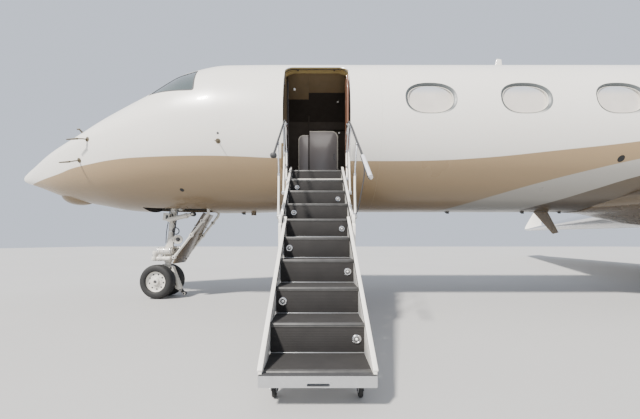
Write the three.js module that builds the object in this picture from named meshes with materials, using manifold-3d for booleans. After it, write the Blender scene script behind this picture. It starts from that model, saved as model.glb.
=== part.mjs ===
// Business jet parked on its gear, with its airstair let down.
// Millimetres. In the tables below a station runs aft from the nose tip, y runs to the
// right-hand (starboard) side and z is the height above the ground.
import * as THREE from 'three';
import { mergeVertices } from 'three/addons/utils/BufferGeometryUtils.js';
import Module from 'manifold-3d';

const wasm = await Module();
wasm.setup();

const OVERALL_LENGTH = 29390;
const BARREL_RADIUS = 1195;
const BARREL_HEIGHT = 2700;
const SEAT_GAP = 0.3;
const HULL_WALL = 90;
const HULL_SEGMENTS = 28;
const INNER_SEGMENTS = 16;
const INNER_INSET = 25;

// Panel joints of the hull, as stations
const RADOME_JOINT = 1150;
const FORWARD_JOINT = 6050;
const CABIN_JOINT = 16000;
const AFT_JOINT = 21500;
const TAIL_END = 26900;

const WHITE = 0xf1eee6;
const DARK = 0x2b2a2a;
const METAL = 0xc4c6c8;
const GREY = 0x8b8d8e;
const GLASS = 0x5d6c70;
const BLACK = 0x141414;

const lerp = THREE.MathUtils.lerp;
const degrees = THREE.MathUtils.degToRad;

function bareGeometry(positions, indices) {
  const geometry = new THREE.BufferGeometry();
  geometry.setAttribute('position', new THREE.Float32BufferAttribute(positions, 3));
  geometry.setIndex(indices);
  return geometry;
}

function signedVolume(p, t) {
  let sum = 0;
  const a = new THREE.Vector3();
  const b = new THREE.Vector3();
  const c = new THREE.Vector3();
  for (let i = 0; i < t.length; i += 3) {
    a.fromArray(p, t[i] * 3);
    b.fromArray(p, t[i + 1] * 3);
    c.fromArray(p, t[i + 2] * 3);
    sum += a.dot(b.cross(c)) / 6;
  }
  return sum;
}

// Closed three.js geometry to a solid: shared vertices merged, thin slivers dropped, faces out
function solid(geometry) {
  const bare = geometry.clone();
  bare.deleteAttribute('normal');
  bare.deleteAttribute('uv');
  const merged = mergeVertices(bare, 1e-3);
  const positions = merged.attributes.position.array;
  const triangles = [];
  const index = merged.index.array;
  for (let i = 0; i < index.length; i += 3) {
    const [a, b, c] = [index[i], index[i + 1], index[i + 2]];
    if (a !== b && b !== c && c !== a) triangles.push(a, b, c);
  }
  if (signedVolume(positions, triangles) < 0) triangles.reverse();
  return new wasm.Manifold(new wasm.Mesh({
    numProp: 3,
    vertProperties: new Float32Array(positions),
    triVerts: new Uint32Array(triangles),
  }));
}

function joined(...solids) {
  return solids.reduce((sum, next) => sum.add(next));
}

function cut(body, ...tools) {
  return tools.reduce((rest, tool) => rest.subtract(tool), body);
}

function geometryOf(body) {
  const mesh = body.getMesh();
  return bareGeometry(Array.from(mesh.vertProperties), Array.from(mesh.triVerts));
}

const plane = new THREE.Group();
plane.position.x = -OVERALL_LENGTH / 2;

function addPiece(name, body, color, roughness = 0.4, metalness = 0.1, parent = plane) {
  const geometry = geometryOf(body);
  geometry.computeVertexNormals();
  const material = new THREE.MeshStandardMaterial({ color, roughness, metalness });
  const piece = new THREE.Mesh(geometry, material);
  piece.name = name;
  parent.add(piece);
  return piece;
}

// Rings of equal point count, [x, y, z] each, skinned into one closed solid
function loft(rings) {
  const count = rings[0].length;
  const positions = [];
  const indices = [];
  for (const ring of rings) for (const point of ring) positions.push(...point);
  for (let r = 0; r + 1 < rings.length; r += 1) {
    for (let i = 0; i < count; i += 1) {
      const a = r * count + i;
      const b = r * count + (i + 1) % count;
      indices.push(a, b, b + count, a, b + count, a + count);
    }
  }
  const ends = [[0, true], [rings.length - 1, false]];
  for (const [r, first] of ends) {
    const centre = positions.length / 3;
    const middle = [0, 1, 2].map((k) => rings[r].reduce((sum, p) => sum + p[k], 0) / count);
    positions.push(...middle);
    for (let i = 0; i < count; i += 1) {
      const a = r * count + i;
      const b = r * count + (i + 1) % count;
      if (first) indices.push(b, a, centre);
      else indices.push(a, b, centre);
    }
  }
  return solid(bareGeometry(positions, indices));
}

// Box from its lowest and highest corner
function box(low, high) {
  const size = high.map((value, k) => value - low[k]);
  const geometry = new THREE.BoxGeometry(...size);
  geometry.translate(...low.map((value, k) => value + size[k] / 2));
  return solid(geometry);
}

// Round bar between two points, with a radius at each
function bar(from, to, radius, endRadius = radius, segments = 8) {
  const start = new THREE.Vector3(...from);
  const end = new THREE.Vector3(...to);
  const along = end.clone().sub(start);
  const geometry = new THREE.CylinderGeometry(endRadius, radius, along.length(), segments);
  const turn = new THREE.Quaternion();
  turn.setFromUnitVectors(new THREE.Vector3(0, 1, 0), along.clone().normalize());
  geometry.applyQuaternion(turn);
  const middle = start.add(end).multiplyScalar(0.5);
  geometry.translate(middle.x, middle.y, middle.z);
  return solid(geometry);
}

// Flat outline pushed along one axis: 'y' reads [x, z], 'x' reads [y, z] and 'z' reads [x, y]
function slab(outline, axis, from, to) {
  const shape = outline instanceof THREE.Shape
    ? outline : new THREE.Shape(outline.map(([a, b]) => new THREE.Vector2(a, b)));
  const geometry = new THREE.ExtrudeGeometry(shape,
    { depth: to - from, bevelEnabled: false, curveSegments: 5 });
  const swap = new THREE.Matrix4();
  if (axis === 'y') swap.set(1, 0, 0, 0, 0, 0, 1, from, 0, 1, 0, 0, 0, 0, 0, 1);
  if (axis === 'x') swap.set(0, 0, 1, from, 1, 0, 0, 0, 0, 1, 0, 0, 0, 0, 0, 1);
  if (axis === 'z') swap.set(1, 0, 0, 0, 0, 1, 0, 0, 0, 0, 1, from, 0, 0, 0, 1);
  geometry.applyMatrix4(swap);
  return solid(geometry);
}

// Rectangle with rounded corners, centred on (cx, cz)
function roundedRectangle(cx, cz, width, height, radius) {
  const [left, right] = [cx - width / 2, cx + width / 2];
  const [low, high] = [cz - height / 2, cz + height / 2];
  const shape = new THREE.Shape();
  shape.moveTo(left + radius, low);
  shape.lineTo(right - radius, low);
  shape.absarc(right - radius, low + radius, radius, -Math.PI / 2, 0);
  shape.lineTo(right, high - radius);
  shape.absarc(right - radius, high - radius, radius, 0, Math.PI / 2);
  shape.lineTo(left + radius, high);
  shape.absarc(left + radius, high - radius, radius, Math.PI / 2, Math.PI);
  shape.lineTo(left, low + radius);
  shape.absarc(left + radius, low + radius, radius, Math.PI, Math.PI * 1.5);
  return shape;
}

function tube(points, radius, steps = 14) {
  const curve = new THREE.CatmullRomCurve3(points.map((p) => new THREE.Vector3(...p)));
  const ring = new THREE.Shape();
  ring.absarc(0, 0, radius, 0, Math.PI * 2);
  const geometry = new THREE.ExtrudeGeometry(ring,
    { extrudePath: curve, steps, bevelEnabled: false, curveSegments: 3 });
  return solid(geometry);
}

// Spun solid about the y axis of its own frame from [radius, height] points
function turned(profile, segments = 28) {
  const points = profile.map(([r, h]) => new THREE.Vector2(r, h));
  return new THREE.LatheGeometry(points, segments);
}

// Hull sections. Above and below its widest height each is half an ellipse.
const HULL = [
  // station, top, bottom, widest height, half width
  [0, 2072, 2068, 2070, 1],
  [25, 2118, 2025, 2074, 42],
  [100, 2182, 1995, 2092, 88],
  [350, 2312, 1906, 2161, 219],
  [800, 2539, 1740, 2269, 457],
  [1400, 2785, 1612, 2396, 716],
  [2000, 3108, 1516, 2503, 914],
  [2600, 3418, 1488, 2589, 1056],
  [3200, 3779, 1484, 2652, 1146],
  [3800, 3890, 1486, 2691, 1188],
  [4600, 3895, 1505, 2700, 1195],
  [17000, 3895, 1505, 2700, 1195],
  [19000, 3895, 1600, 2740, 1140],
  [21000, 3890, 1840, 2860, 1000],
  [23000, 3870, 2270, 3060, 770],
  [25000, 3800, 2790, 3290, 480],
  [26400, 3700, 3180, 3440, 240],
  [TAIL_END, 3620, 3330, 3475, 140],
];

function hullAt(station) {
  const after = Math.max(1, HULL.findIndex((row) => row[0] >= station));
  const [low, high] = [HULL[after - 1], HULL[after]];
  const share = (station - low[0]) / (high[0] - low[0]);
  const [, top, bottom, widest, half] = low.map((value, k) => lerp(value, high[k], share));
  return { top, bottom, widest, half };
}

function hullRing(station, inset) {
  const segments = inset < INNER_INSET ? HULL_SEGMENTS : INNER_SEGMENTS;
  const { top, bottom, widest, half } = hullAt(THREE.MathUtils.clamp(station, 0, TAIL_END));
  const ring = [];
  for (let i = 0; i < segments; i += 1) {
    const angle = (i / segments) * Math.PI * 2;
    const rise = (Math.cos(angle) > 0 ? top - widest : widest - bottom) - inset;
    ring.push([station, (half - inset) * Math.sin(angle), widest + rise * Math.cos(angle)]);
  }
  return ring;
}

function hullLoft(from, to, inset = 0) {
  const between = HULL.map((row) => row[0]).filter((s) => s > from + 1 && s < to - 1);
  return loft([from, ...between, to].map((station) => hullRing(station, inset)));
}

function shrunk(points, amount) {
  const centre = [0, 1].map((k) => points.reduce((sum, p) => sum + p[k], 0) / points.length);
  return points.map((p) => {
    const reach = Math.hypot(p[0] - centre[0], p[1] - centre[1]);
    return p.map((value, k) => value + (centre[k] - value) * amount / reach);
  });
}

const HULL_REACH = 1400;
const LINER = HULL_WALL + SEAT_GAP;

// Airstair door opening, cut square to the hull's side
const DOOR_STATION = 5160;
const DOOR_WIDTH = 920;
const DOOR_LOW = 1900;
const DOOR_HIGH = 3550;
const DOOR_CORNER = 130;

// Threshold across the foot of the opening, [y, z]: its top is level with the last step
const SILL = [[-948.7, 1996], [-948.7, 1920], [-885, 1920], [-885, 1880], [-775, 1880],
  [-775, 1996]];
const FORWARD_JACK = { station: 4050, foot: 1440, radius: 45 };

function doorOutline(inset) {
  return roundedRectangle(DOOR_STATION, (DOOR_LOW + DOOR_HIGH) / 2, DOOR_WIDTH - 2 * inset,
    DOOR_HIGH - DOOR_LOW - 2 * inset, DOOR_CORNER);
}

// Cabin windows: wide ovals at a steady pitch, the same on both sides
const WINDOW = { first: 6722, pitch: 1300, count: 7, height: 2935, width: 708, tall: 494 };

function ovalOutline(station, inset) {
  const points = [];
  const sides = 16;
  const squareness = 0.9;
  for (let i = 0; i < sides; i += 1) {
    const angle = (i / sides) * Math.PI * 2;
    const [c, s] = [Math.cos(angle), Math.sin(angle)];
    points.push([
      station + Math.sign(c) * Math.abs(c) ** squareness * (WINDOW.width / 2 - inset),
      WINDOW.height + Math.sign(s) * Math.abs(s) ** squareness * (WINDOW.tall / 2 - inset),
    ]);
  }
  return points;
}

const windowStations = Array.from({ length: WINDOW.count }, (_, i) => WINDOW.first + i * WINDOW.pitch);

// Cockpit glazing: the side panes as [station, z], the front panes as [station, y]
const SIDE_PANE = [[2665, 3120], [3455, 3075], [3385, 3555], [3060, 3440]];
const FRONT_PANE = [[2150, 45], [2560, 760], [2950, 560], [2860, 45]];
const PANE_INSET = 8;
const PANE_THICKNESS = 24;
const PANE_GAP = 0.6;

function mirrored(outline, side) {
  return side > 0 ? outline : outline.map(([a, b]) => [a, -b]).reverse();
}

function sidePane(side, inset) {
  const [from, to] = side > 0 ? [300, HULL_REACH] : [-HULL_REACH, -300];
  return slab(shrunk(SIDE_PANE, inset), 'y', from, to);
}

function frontPane(side, inset) {
  return slab(mirrored(shrunk(FRONT_PANE, inset), side), 'z', 2900, 4000);
}

// Nose gear bay: a box let into the belly, open below
const NOSE_BAY = { from: 2260, to: 3380, half: 300, roof: 2090, wall: 20 };

function noseBay(grow) {
  const { from, to, half, roof } = NOSE_BAY;
  return box([from - grow, -half - grow, 1300], [to + grow, half + grow, roof + grow]);
}

// Blade antennas on the middle plane, as [station, z]
const TOP_BLADE = [[8255, 3860], [8465, 3860], [8435, 4205], [8350, 4215]];
const BELLY_BLADE = [[8960, 1540], [9238, 1540], [9450, 1140], [9345, 1112]];
const BLADE_THICKNESS = 18;

function blade(outline) {
  return slab(outline, 'y', -BLADE_THICKNESS / 2, BLADE_THICKNESS / 2);
}

// Rounded chin fairing under the radome: its middle and its three half axes
const CHIN = { station: 985, height: 1790, along: 300, across: 190, deep: 168 };

function chin() {
  const ball = new THREE.SphereGeometry(1, 22, 14);
  ball.scale(CHIN.along, CHIN.across, CHIN.deep);
  ball.translate(CHIN.station, 0, CHIN.height);
  return solid(ball).intersect(box([0, -HULL_REACH, 0], [RADOME_JOINT - SEAT_GAP, HULL_REACH, 3000]));
}

function buildHull() {
  const radomeWall = 30;
  const radome = cut(joined(hullLoft(0, RADOME_JOINT - SEAT_GAP), chin()),
    hullLoft(500, RADOME_JOINT + 50, radomeWall));
  addPiece('radome', radome, WHITE, 0.35);

  const bulkhead = 100;
  const bayWalls = noseBay(NOSE_BAY.wall).intersect(hullLoft(RADOME_JOINT + 50, 4000, 1));
  let forward = cut(hullLoft(RADOME_JOINT, FORWARD_JOINT - SEAT_GAP),
    hullLoft(RADOME_JOINT + bulkhead, FORWARD_JOINT + 50, HULL_WALL));
  forward = cut(joined(forward, bayWalls), noseBay(0),
    slab(doorOutline(0), 'y', -HULL_REACH, -500));
  for (const side of [-1, 1]) forward = cut(forward, sidePane(side, 0), frontPane(side, 0));
  const jack = bar([FORWARD_JACK.station, 0, FORWARD_JACK.foot], [FORWARD_JACK.station, 0, 1560],
    FORWARD_JACK.radius, FORWARD_JACK.radius, 16);
  forward = joined(forward, slab(SILL, 'x', DOOR_STATION - 456, DOOR_STATION + 456), jack);
  addPiece('forward_fuselage', forward, WHITE, 0.35);

  let cabin = cut(hullLoft(FORWARD_JOINT, CABIN_JOINT - SEAT_GAP),
    hullLoft(FORWARD_JOINT - 50, CABIN_JOINT + 50, HULL_WALL));
  for (const station of windowStations) {
    cabin = cut(cabin, slab(ovalOutline(station, 0), 'y', -HULL_REACH, HULL_REACH));
  }
  addPiece('cabin_fuselage', joined(cabin, blade(TOP_BLADE), blade(BELLY_BLADE)), WHITE, 0.35);

  const aft = cut(hullLoft(CABIN_JOINT, AFT_JOINT - SEAT_GAP),
    hullLoft(CABIN_JOINT - 50, AFT_JOINT + 50, HULL_WALL), slab(hatchOutline(0), 'y', -HULL_REACH, -500));
  addPiece('aft_fuselage', aft, WHITE, 0.35);

  const coneWallEnd = 25000;
  const tailCone = cut(hullLoft(AFT_JOINT, TAIL_END),
    hullLoft(AFT_JOINT - 50, coneWallEnd, HULL_WALL));
  addPiece('tail_cone', tailCone, WHITE, 0.35);
}

// Baggage door in the port side behind the wing, hinged along its top edge
const HATCH = { station: 16900, width: 800, low: 2250, high: 2900, corner: 20, depth: 60, gap: 8 };
const HATCH_HINGE = { y: -1168, z: 2870, radius: 6, length: 30 };

function hatchOutline(inset) {
  const { station, width, low, high, corner } = HATCH;
  return roundedRectangle(station, (low + high) / 2, width - 2 * inset, high - low - 2 * inset,
    corner);
}

function hullShell(from, to, outerInset, innerInset) {
  return cut(hullLoft(from, to, outerInset), hullLoft(from - 20, to + 20, innerInset));
}

function buildHatch() {
  const shell = hullShell(16200, 17600, 0, HATCH.depth);
  let door = shell.intersect(slab(hatchOutline(HATCH.gap), 'y', -HULL_REACH, -500));
  for (const end of [-1, 1]) {
    const side = HATCH.station + end * (HATCH.width / 2 - SEAT_GAP);
    const pinAt = (station) => [station, HATCH_HINGE.y, HATCH_HINGE.z];
    door = door.add(bar(pinAt(side), pinAt(side - end * HATCH_HINGE.length), HATCH_HINGE.radius));
  }
  addPiece('baggage_door', door, WHITE, 0.35);
}

function buildGlazing() {
  const skin = hullShell(1400, 3800, PANE_INSET, PANE_INSET + PANE_THICKNESS);
  for (const [side, word] of [[-1, 'left'], [1, 'right']]) {
    addPiece(`windshield_${word}`, skin.intersect(frontPane(side, PANE_GAP)), GLASS, 0.08, 0);
    addPiece(`cockpit_window_${word}`, skin.intersect(sidePane(side, PANE_GAP)), GLASS, 0.08, 0);
  }
}

// Cabin floor, partitions and linings, all inside the hull's inner face
const FLOOR = { from: 3404, to: 15900, low: 1885, high: 1960 };
const PARTITION = { forward: 4400, aft: 5860, thickness: 40, aisleHalf: 300, lintel: 3640 };
const CABINET_FACE = 760;
const SHADE = { from: 6200, to: 15900, low: 2640, high: 3190, thickness: 24, plate: 975.5, inset: 24,
  gap: 0.5 };

function buildInterior() {
  const room = hullLoft(3200, FLOOR.to, LINER);
  const floor = box([FLOOR.from, -HULL_REACH, FLOOR.low], [FLOOR.to, HULL_REACH, FLOOR.high]);
  const sillRoom = box([DOOR_STATION - 458, -HULL_REACH, FLOOR.low - 50],
    [DOOR_STATION + 458, SILL[3][0] + 110 + SEAT_GAP, FLOOR.high + 50]);
  addPiece('cabin_floor', cut(room.intersect(floor), sillRoom), GREY, 0.8, 0);

  const standing = FLOOR.high + SEAT_GAP;
  for (const [word, from] of [['forward', PARTITION.forward], ['aft', PARTITION.aft]]) {
    const wall = box([from, -HULL_REACH, standing],
      [from + PARTITION.thickness, HULL_REACH, 4000]);
    const aisle = box([from - 10, -PARTITION.aisleHalf, standing - 10],
      [from + PARTITION.thickness + 10, PARTITION.aisleHalf, PARTITION.lintel]);
    addPiece(`${word}_partition`, cut(room.intersect(wall), aisle), 0x3b3029, 0.5, 0);
  }

  const [from, to] = [PARTITION.forward + PARTITION.thickness + SEAT_GAP, PARTITION.aft - SEAT_GAP];
  const cabinet = box([from, CABINET_FACE, standing], [to, HULL_REACH, 3420]);
  addPiece('galley_cabinet', room.intersect(cabinet), 0x9a9498, 0.5, 0);

  // One flat lining a side, with a plug standing out of it into each window's opening
  for (const [side, word] of [[-1, 'left'], [1, 'right']]) {
    const span = (near, far) => [side * near, side * far].sort((a, b) => a - b);
    const [low, high] = span(SHADE.plate - SHADE.thickness, SHADE.plate);
    let lining = box([SHADE.from, low, SHADE.low], [SHADE.to, high, SHADE.high]);
    for (const station of windowStations) {
      const [near, far] = span(SHADE.plate - SHADE.thickness / 2, HULL_REACH);
      lining = lining.add(slab(ovalOutline(station, SHADE.gap), 'y', near, far));
    }
    const face = [[0, 2400], [0, 3400], [paneY(3400), 3400], [paneY(2400), 2400]]
      .map(([y, z]) => [side * y, z]);
    addPiece(`window_shades_${word}`, lining.intersect(slab(face, 'x', SHADE.from, SHADE.to)),
      0xe4e1da, 0.7, 0);
  }
}

// Distance of the window panes from the middle plane: a straight line a little inside the skin
function paneY(z) {
  const skin = (height) => Math.sqrt(BARREL_RADIUS ** 2 - (height - BARREL_HEIGHT) ** 2);
  const [low, high] = [WINDOW.height - WINDOW.tall / 2, WINDOW.height + WINDOW.tall / 2];
  return lerp(skin(low), skin(high), (z - low) / (high - low)) - SHADE.inset;
}

// Pilots' seats and the panel in front of them, seen through the glazing
const COCKPIT = { seat: 3560, seatHalfGap: 230, seatWidth: 470, floor: 1960 };

function buildCockpit() {
  const base = COCKPIT.floor + SEAT_GAP;
  for (const [side, word] of [[-1, 'left'], [1, 'right']]) {
    const [near, far] = [COCKPIT.seatHalfGap, COCKPIT.seatHalfGap + COCKPIT.seatWidth];
    const [low, high] = side > 0 ? [near, far] : [-far, -near];
    const outline = [[COCKPIT.seat - 150, base], [COCKPIT.seat + 250, base],
      [COCKPIT.seat + 250, base + 360], [COCKPIT.seat + 430, base + 1150],
      [COCKPIT.seat + 310, base + 1160], [COCKPIT.seat + 140, base + 500],
      [COCKPIT.seat - 230, base + 520], [COCKPIT.seat - 230, base + 400],
      [COCKPIT.seat - 150, base + 380]];
    addPiece(`pilot_seat_${word}`, slab(outline, 'y', low, high), 0x6f665c, 0.7, 0);
  }
  const outline = [[2480, 2300], [2980, 2300], [2980, 2880], [2760, 2940], [2480, 2880]];
  const room = hullLoft(2000, 3800, LINER);
  const foot = box([2900, -200, NOSE_BAY.roof + NOSE_BAY.wall + SEAT_GAP], [2980, 200, 2320]);
  const panel = joined(slab(outline, 'y', -HULL_REACH, HULL_REACH), foot);
  addPiece('instrument_panel', room.intersect(panel), DARK, 0.8, 0);
}

// Belly fairing under the wing: squarish sections lofted along the hull
const FAIRING = [
  // station, half width, bottom, middle height, height above the middle, roundness
  [9700, 470, 1496, 1700, 230, 0.9],
  [10300, 860, 1484, 1700, 280, 0.9],
  [10900, 1080, 1385, 1700, 330, 0.88],
  [11500, 1260, 1280, 1690, 370, 0.82],
  [12300, 1400, 1220, 1680, 400, 0.76],
  [13300, 1400, 1205, 1680, 400, 0.72],
  [16400, 1400, 1200, 1680, 400, 0.72],
  [18000, 1120, 1300, 1720, 350, 0.72],
  [19600, 520, 1600, 1860, 200, 0.72],
];

function fairingLoft(grow) {
  const rings = FAIRING.map(([station, half, bottom, middle, rise, roundness], row) => {
    const ends = row === 0 ? -grow : grow;
    const along = row === 0 || row === FAIRING.length - 1 ? ends : 0;
    const ring = [];
    for (let i = 0; i < 22; i += 1) {
      const angle = (i / 22) * Math.PI * 2;
      const [c, s] = [Math.cos(angle), Math.sin(angle)];
      const height = (c > 0 ? rise : middle - bottom) + grow;
      ring.push([station + along, (half + grow) * Math.sign(s) * Math.abs(s) ** roundness,
        middle + height * Math.sign(c) * Math.abs(c) ** roundness]);
    }
    return ring;
  });
  return loft(rings);
}

function buildFairing() {
  addPiece('belly_fairing', cut(fairingLoft(0), hullLoft(4600, 21000, -SEAT_GAP)), WHITE, 0.4);
}

// Half thickness of a symmetrical wing section at a share of its chord, per unit of thickness
function thicknessAt(share) {
  return 5 * (0.2969 * Math.sqrt(share) - 0.126 * share - 0.3516 * share ** 2
    + 0.2843 * share ** 3 - 0.1036 * share ** 4);
}

const SECTION_STEPS = 9;

// Lifting surface through rows of [y, z, leading edge, chord, thickness, cant in degrees]
function surfaceLoft(rows, side = 1, fullness = 0) {
  const rings = rows.map(([y, z, leading, chord, thickness, cant]) => {
    const [across, up] = [-Math.sin(degrees(cant)), Math.cos(degrees(cant))];
    const ring = [];
    for (let i = 0; i < 2 * SECTION_STEPS; i += 1) {
      const upper = i < SECTION_STEPS;
      const share = (1 + Math.cos(Math.PI * i / SECTION_STEPS)) / 2;
      const half = thicknessAt(share) * thickness * (upper ? 1 + fullness : fullness - 1);
      ring.push([leading + share * chord, side * (y + across * half), z + up * half]);
    }
    return ring;
  });
  return loft(rings);
}

function rowAt(rows, column, value) {
  const after = Math.max(1, rows.findIndex((row) => row[column] >= value));
  const [low, high] = [rows[after - 1], rows[after]];
  const share = (value - low[column]) / (high[column] - low[column]);
  return low.map((entry, k) => lerp(entry, high[k], share));
}

const MOVING_GAP = 6;
const NOSE_SHARE = 0.98;
const NOSE_OVERRUN = 0.05;
const TAPER_MARGIN = 1.2;
const HINGE_PIN = { radius: 8, length: 70 };

// Region of a control surface: everything behind its hinge line and a round nose along it.
// column says which of y (0) and z (1) is the span. A moving region keeps room at its ends.
function controlRegion(spec, moving) {
  const { column, share, swing } = spec;
  const flat = column === 0 ? 1 : 2;
  const [inner, outer] = [spec.from, spec.to].map((span) => hingePoint(spec, span));
  const lean = (outer.at[0] - inner.at[0]) / outer.place.distanceTo(inner.place);
  const room = (end) => (moving ? endRoom(end.half, lean, swing) : 0);
  const a = hingePoint(spec, spec.from + room(inner));
  const b = hingePoint(spec, spec.to - room(outer));
  const reach = 1.2 * (1 - share) * Math.max(a.chord, b.chord);
  const along = b.place.clone().sub(a.place);
  // A swept hinge carries the outer end's rear corner outward as it turns, so that end tapers
  const sweep = along.x * along.getComponent(flat) / along.lengthSq();
  const taper = moving ? TAPER_MARGIN * sweep * (1 - Math.cos(degrees(swing))) * reach : 0;
  const outline = [[a.at[0], a.at[flat]], [a.at[0] + reach, a.at[flat]],
    [b.at[0] + reach, b.at[flat] - taper], [b.at[0], b.at[flat]]];
  const behind = column === 0
    ? slab(outline, 'z', Math.min(a.at[2], b.at[2]) - 600, Math.max(a.at[2], b.at[2]) + 600)
    : slab(outline, 'y', -600, 600);
  // The nose runs on past both ends and is then trimmed square to the span
  const radius = (end) => (moving ? end.half * NOSE_SHARE : end.half + spec.cove);
  const beyond = (end, overrun) => end.place.clone().addScaledVector(along, overrun).toArray();
  const grow = (radius(b) - radius(a)) * NOSE_OVERRUN;
  const nose = bar(beyond(a, -NOSE_OVERRUN), beyond(b, NOSE_OVERRUN), radius(a) - grow,
    radius(b) + grow, 14);
  const low = [Math.min(a.at[0], b.at[0]) - 900, -600, 0];
  const high = [Math.max(a.at[0], b.at[0]) + 900, 600, 9000];
  low[flat] = Math.min(a.at[flat], b.at[flat]);
  high[flat] = Math.max(a.at[flat], b.at[flat]);
  return { behind, nose: nose.intersect(box(low, high)), ends: [a.place, b.place], along };
}

function hingePoint({ rows, column, side, share, fullness = 0 }, span) {
  const [y, z, leading, chord, thickness] = rowAt(rows, column, span);
  const half = thicknessAt(share) * thickness;
  const at = [leading + share * chord, side * y, z + fullness * half];
  return { at, place: new THREE.Vector3(...at), half, chord };
}

// Room at a control's end: a round nose on a swept hinge swings along the span as it turns
function endRoom(radius, lean, swing) {
  return MOVING_GAP + 2 * lean * radius * Math.sin(degrees(swing) / 2);
}

// Stub pins that carry a control surface at both ends, square to its hinge line
function hingePins(spec) {
  const { ends, along } = controlRegion(spec, false);
  const span = Math.abs(along.getComponent(spec.column === 0 ? 1 : 2)) / along.length();
  const lean = Math.sqrt(1 - span * span);
  const start = (SEAT_GAP + HINGE_PIN.radius * lean) / span;
  const unit = along.clone().normalize();
  return ends.map((end, i) => {
    const inward = unit.clone().multiplyScalar(i === 0 ? 1 : -1);
    const near = end.clone().addScaledVector(inward, start);
    const far = end.clone().addScaledVector(inward, HINGE_PIN.length);
    return bar(near.toArray(), far.toArray(), HINGE_PIN.radius);
  });
}

function splitControl(surface, spec) {
  const slot = controlRegion(spec, false);
  const shape = controlRegion(spec, true);
  const control = joined(surface.intersect(shape.behind), shape.nose, ...hingePins(spec));
  return [cut(surface, slot.behind, slot.nose), control];
}

const WING = [
  // y, z, leading edge, chord, thickness, cant
  [700, 1600, 11404, 5922, 680, 0],
  [13600, 1790, 18852, 1350, 135, 0],
];
const WING_FULLNESS = 0.15;
const WINGLET = [
  [13600 + SEAT_GAP, 1790, 18852, 1350, 135, 0],
  [13840, 1835, 19000, 1215, 120, 38],
  [13990, 2060, 19190, 1040, 94, 70],
  [14205, 3090, 19960, 560, 45, 80],
];
const FLAP = { from: 1750, to: 8600, share: 0.8, swing: 39, cove: 13 };
const AILERON = { from: 9050, to: 12900, share: 0.76, swing: 22, cove: 8 };

function buildWings() {
  for (const [side, word] of [[-1, 'left'], [1, 'right']]) {
    const whole = cut(surfaceLoft(WING, side, WING_FULLNESS), fairingLoft(SEAT_GAP),
      hullLoft(4600, 21000, -SEAT_GAP));
    const place = { rows: WING, column: 0, side, fullness: WING_FULLNESS };
    const [withoutFlap, flap] = splitControl(whole, { ...place, ...FLAP });
    const [wing, aileron] = splitControl(withoutFlap, { ...place, ...AILERON });
    addPiece(`wing_${word}`, joined(wing, jackPad(side)), WHITE, 0.4);
    addPiece(`flap_${word}`, flap, WHITE, 0.4);
    addPiece(`aileron_${word}`, aileron, WHITE, 0.4);
    addPiece(`winglet_${word}`, surfaceLoft(WINGLET, side, WING_FULLNESS), WHITE, 0.35);
  }
}

// Jacking pads under the wing, just ahead of the main gear
const JACK = { station: 15200, y: 3000, radius: 45, foot: 1350 };

function jackPad(side) {
  return bar([JACK.station, side * JACK.y, JACK.foot], [JACK.station, side * JACK.y, 1620],
    JACK.radius, JACK.radius, 16);
}

// Tail surfaces
const FIN = [
  [0, 3300, 19400, 6900, 345, 90],
  [0, 4150, 21750, 4550, 340, 90],
  [0, 7500, 24900, 2850, 240, 90],
];
const RUDDER = { from: 4300, to: 7100, share: 0.7, swing: 22, cove: 8 };
const STABILIZER = [
  [0, 7620, 25300, 2750, 248, 0],
  [5360, 7620, 28445, 945, 80, 0],
];
const ELEVATOR = { from: 420, to: 5000, share: 0.68, swing: 24, cove: 8 };
const BULLET = { front: 24700, height: 7620, radius: 250 };

function spunAlongX(profile, front, y, z, segments) {
  const geometry = turned(profile, segments);
  geometry.rotateZ(-Math.PI / 2);
  geometry.translate(front, y, z);
  return geometry;
}

function bullet(grow) {
  const profile = [[0, -grow], [110 + grow, 300], [215 + grow, 900], [BULLET.radius + grow, 1800],
    [205 + grow, 2900], [90 + grow, 3800], [0, 4200 + grow]];
  return solid(spunAlongX(profile, BULLET.front, 0, BULLET.height, 14));
}

function buildTail() {
  const fin = cut(surfaceLoft(FIN), hullLoft(19000, TAIL_END, -SEAT_GAP), bullet(SEAT_GAP));
  const [fixedFin, rudder] = splitControl(fin, { rows: FIN, column: 1, side: 1, ...RUDDER });
  addPiece('fin', fixedFin, WHITE, 0.4);
  addPiece('rudder', rudder, WHITE, 0.4);

  let stabilizer = bullet(0);
  const elevators = [];
  for (const side of [-1, 1]) {
    const place = { rows: STABILIZER, column: 0, side, ...ELEVATOR };
    const [fixed, elevator] = splitControl(surfaceLoft(STABILIZER, side), place);
    stabilizer = stabilizer.add(fixed);
    elevators.push(elevator);
  }
  addPiece('stabilizer', stabilizer, WHITE, 0.4);
  addPiece('elevator_left', elevators[0], WHITE, 0.4);
  addPiece('elevator_right', elevators[1], WHITE, 0.4);
}

// Engines on short pylons. Profiles are [radius, distance behind the intake lip].
const NACELLE = { front: 17900, y: 2050, height: 3180, segments: 22 };
const NACELLE_OUTSIDE = [[640, 0], [700, 20], [748, 120], [790, 500], [806, 1300], [792, 2700],
  [700, 4200], [560, 5200]];
const NACELLE_DUCT = [[535, 5200], [600, 4200], [640, 2900], [640, 1500], [625, 900], [592, 400],
  [600, 110]];
const ENGINE = [[0, 1250], [280, 1250], [280, 1600], [640 - SEAT_GAP, 1600],
  [640 - SEAT_GAP, 1800], [430, 1850], [430, 3900], [250, 4500], [0, 5150]];
const SPINNER = [[0, 700], [90, 760], [170, 900], [218, 1040], [218, 1200], [100, 1200],
  [100, 1250 - SEAT_GAP], [0, 1250 - SEAT_GAP]];
const FAN = { blades: 14, root: 205, tip: 612, middle: 1110, thickness: 14, twist: 50 };
const PYLON = [
  [600, 3180, 18650, 4000, 300, 0],
  [1700, 3180, 18950, 3500, 260, 0],
];

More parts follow.
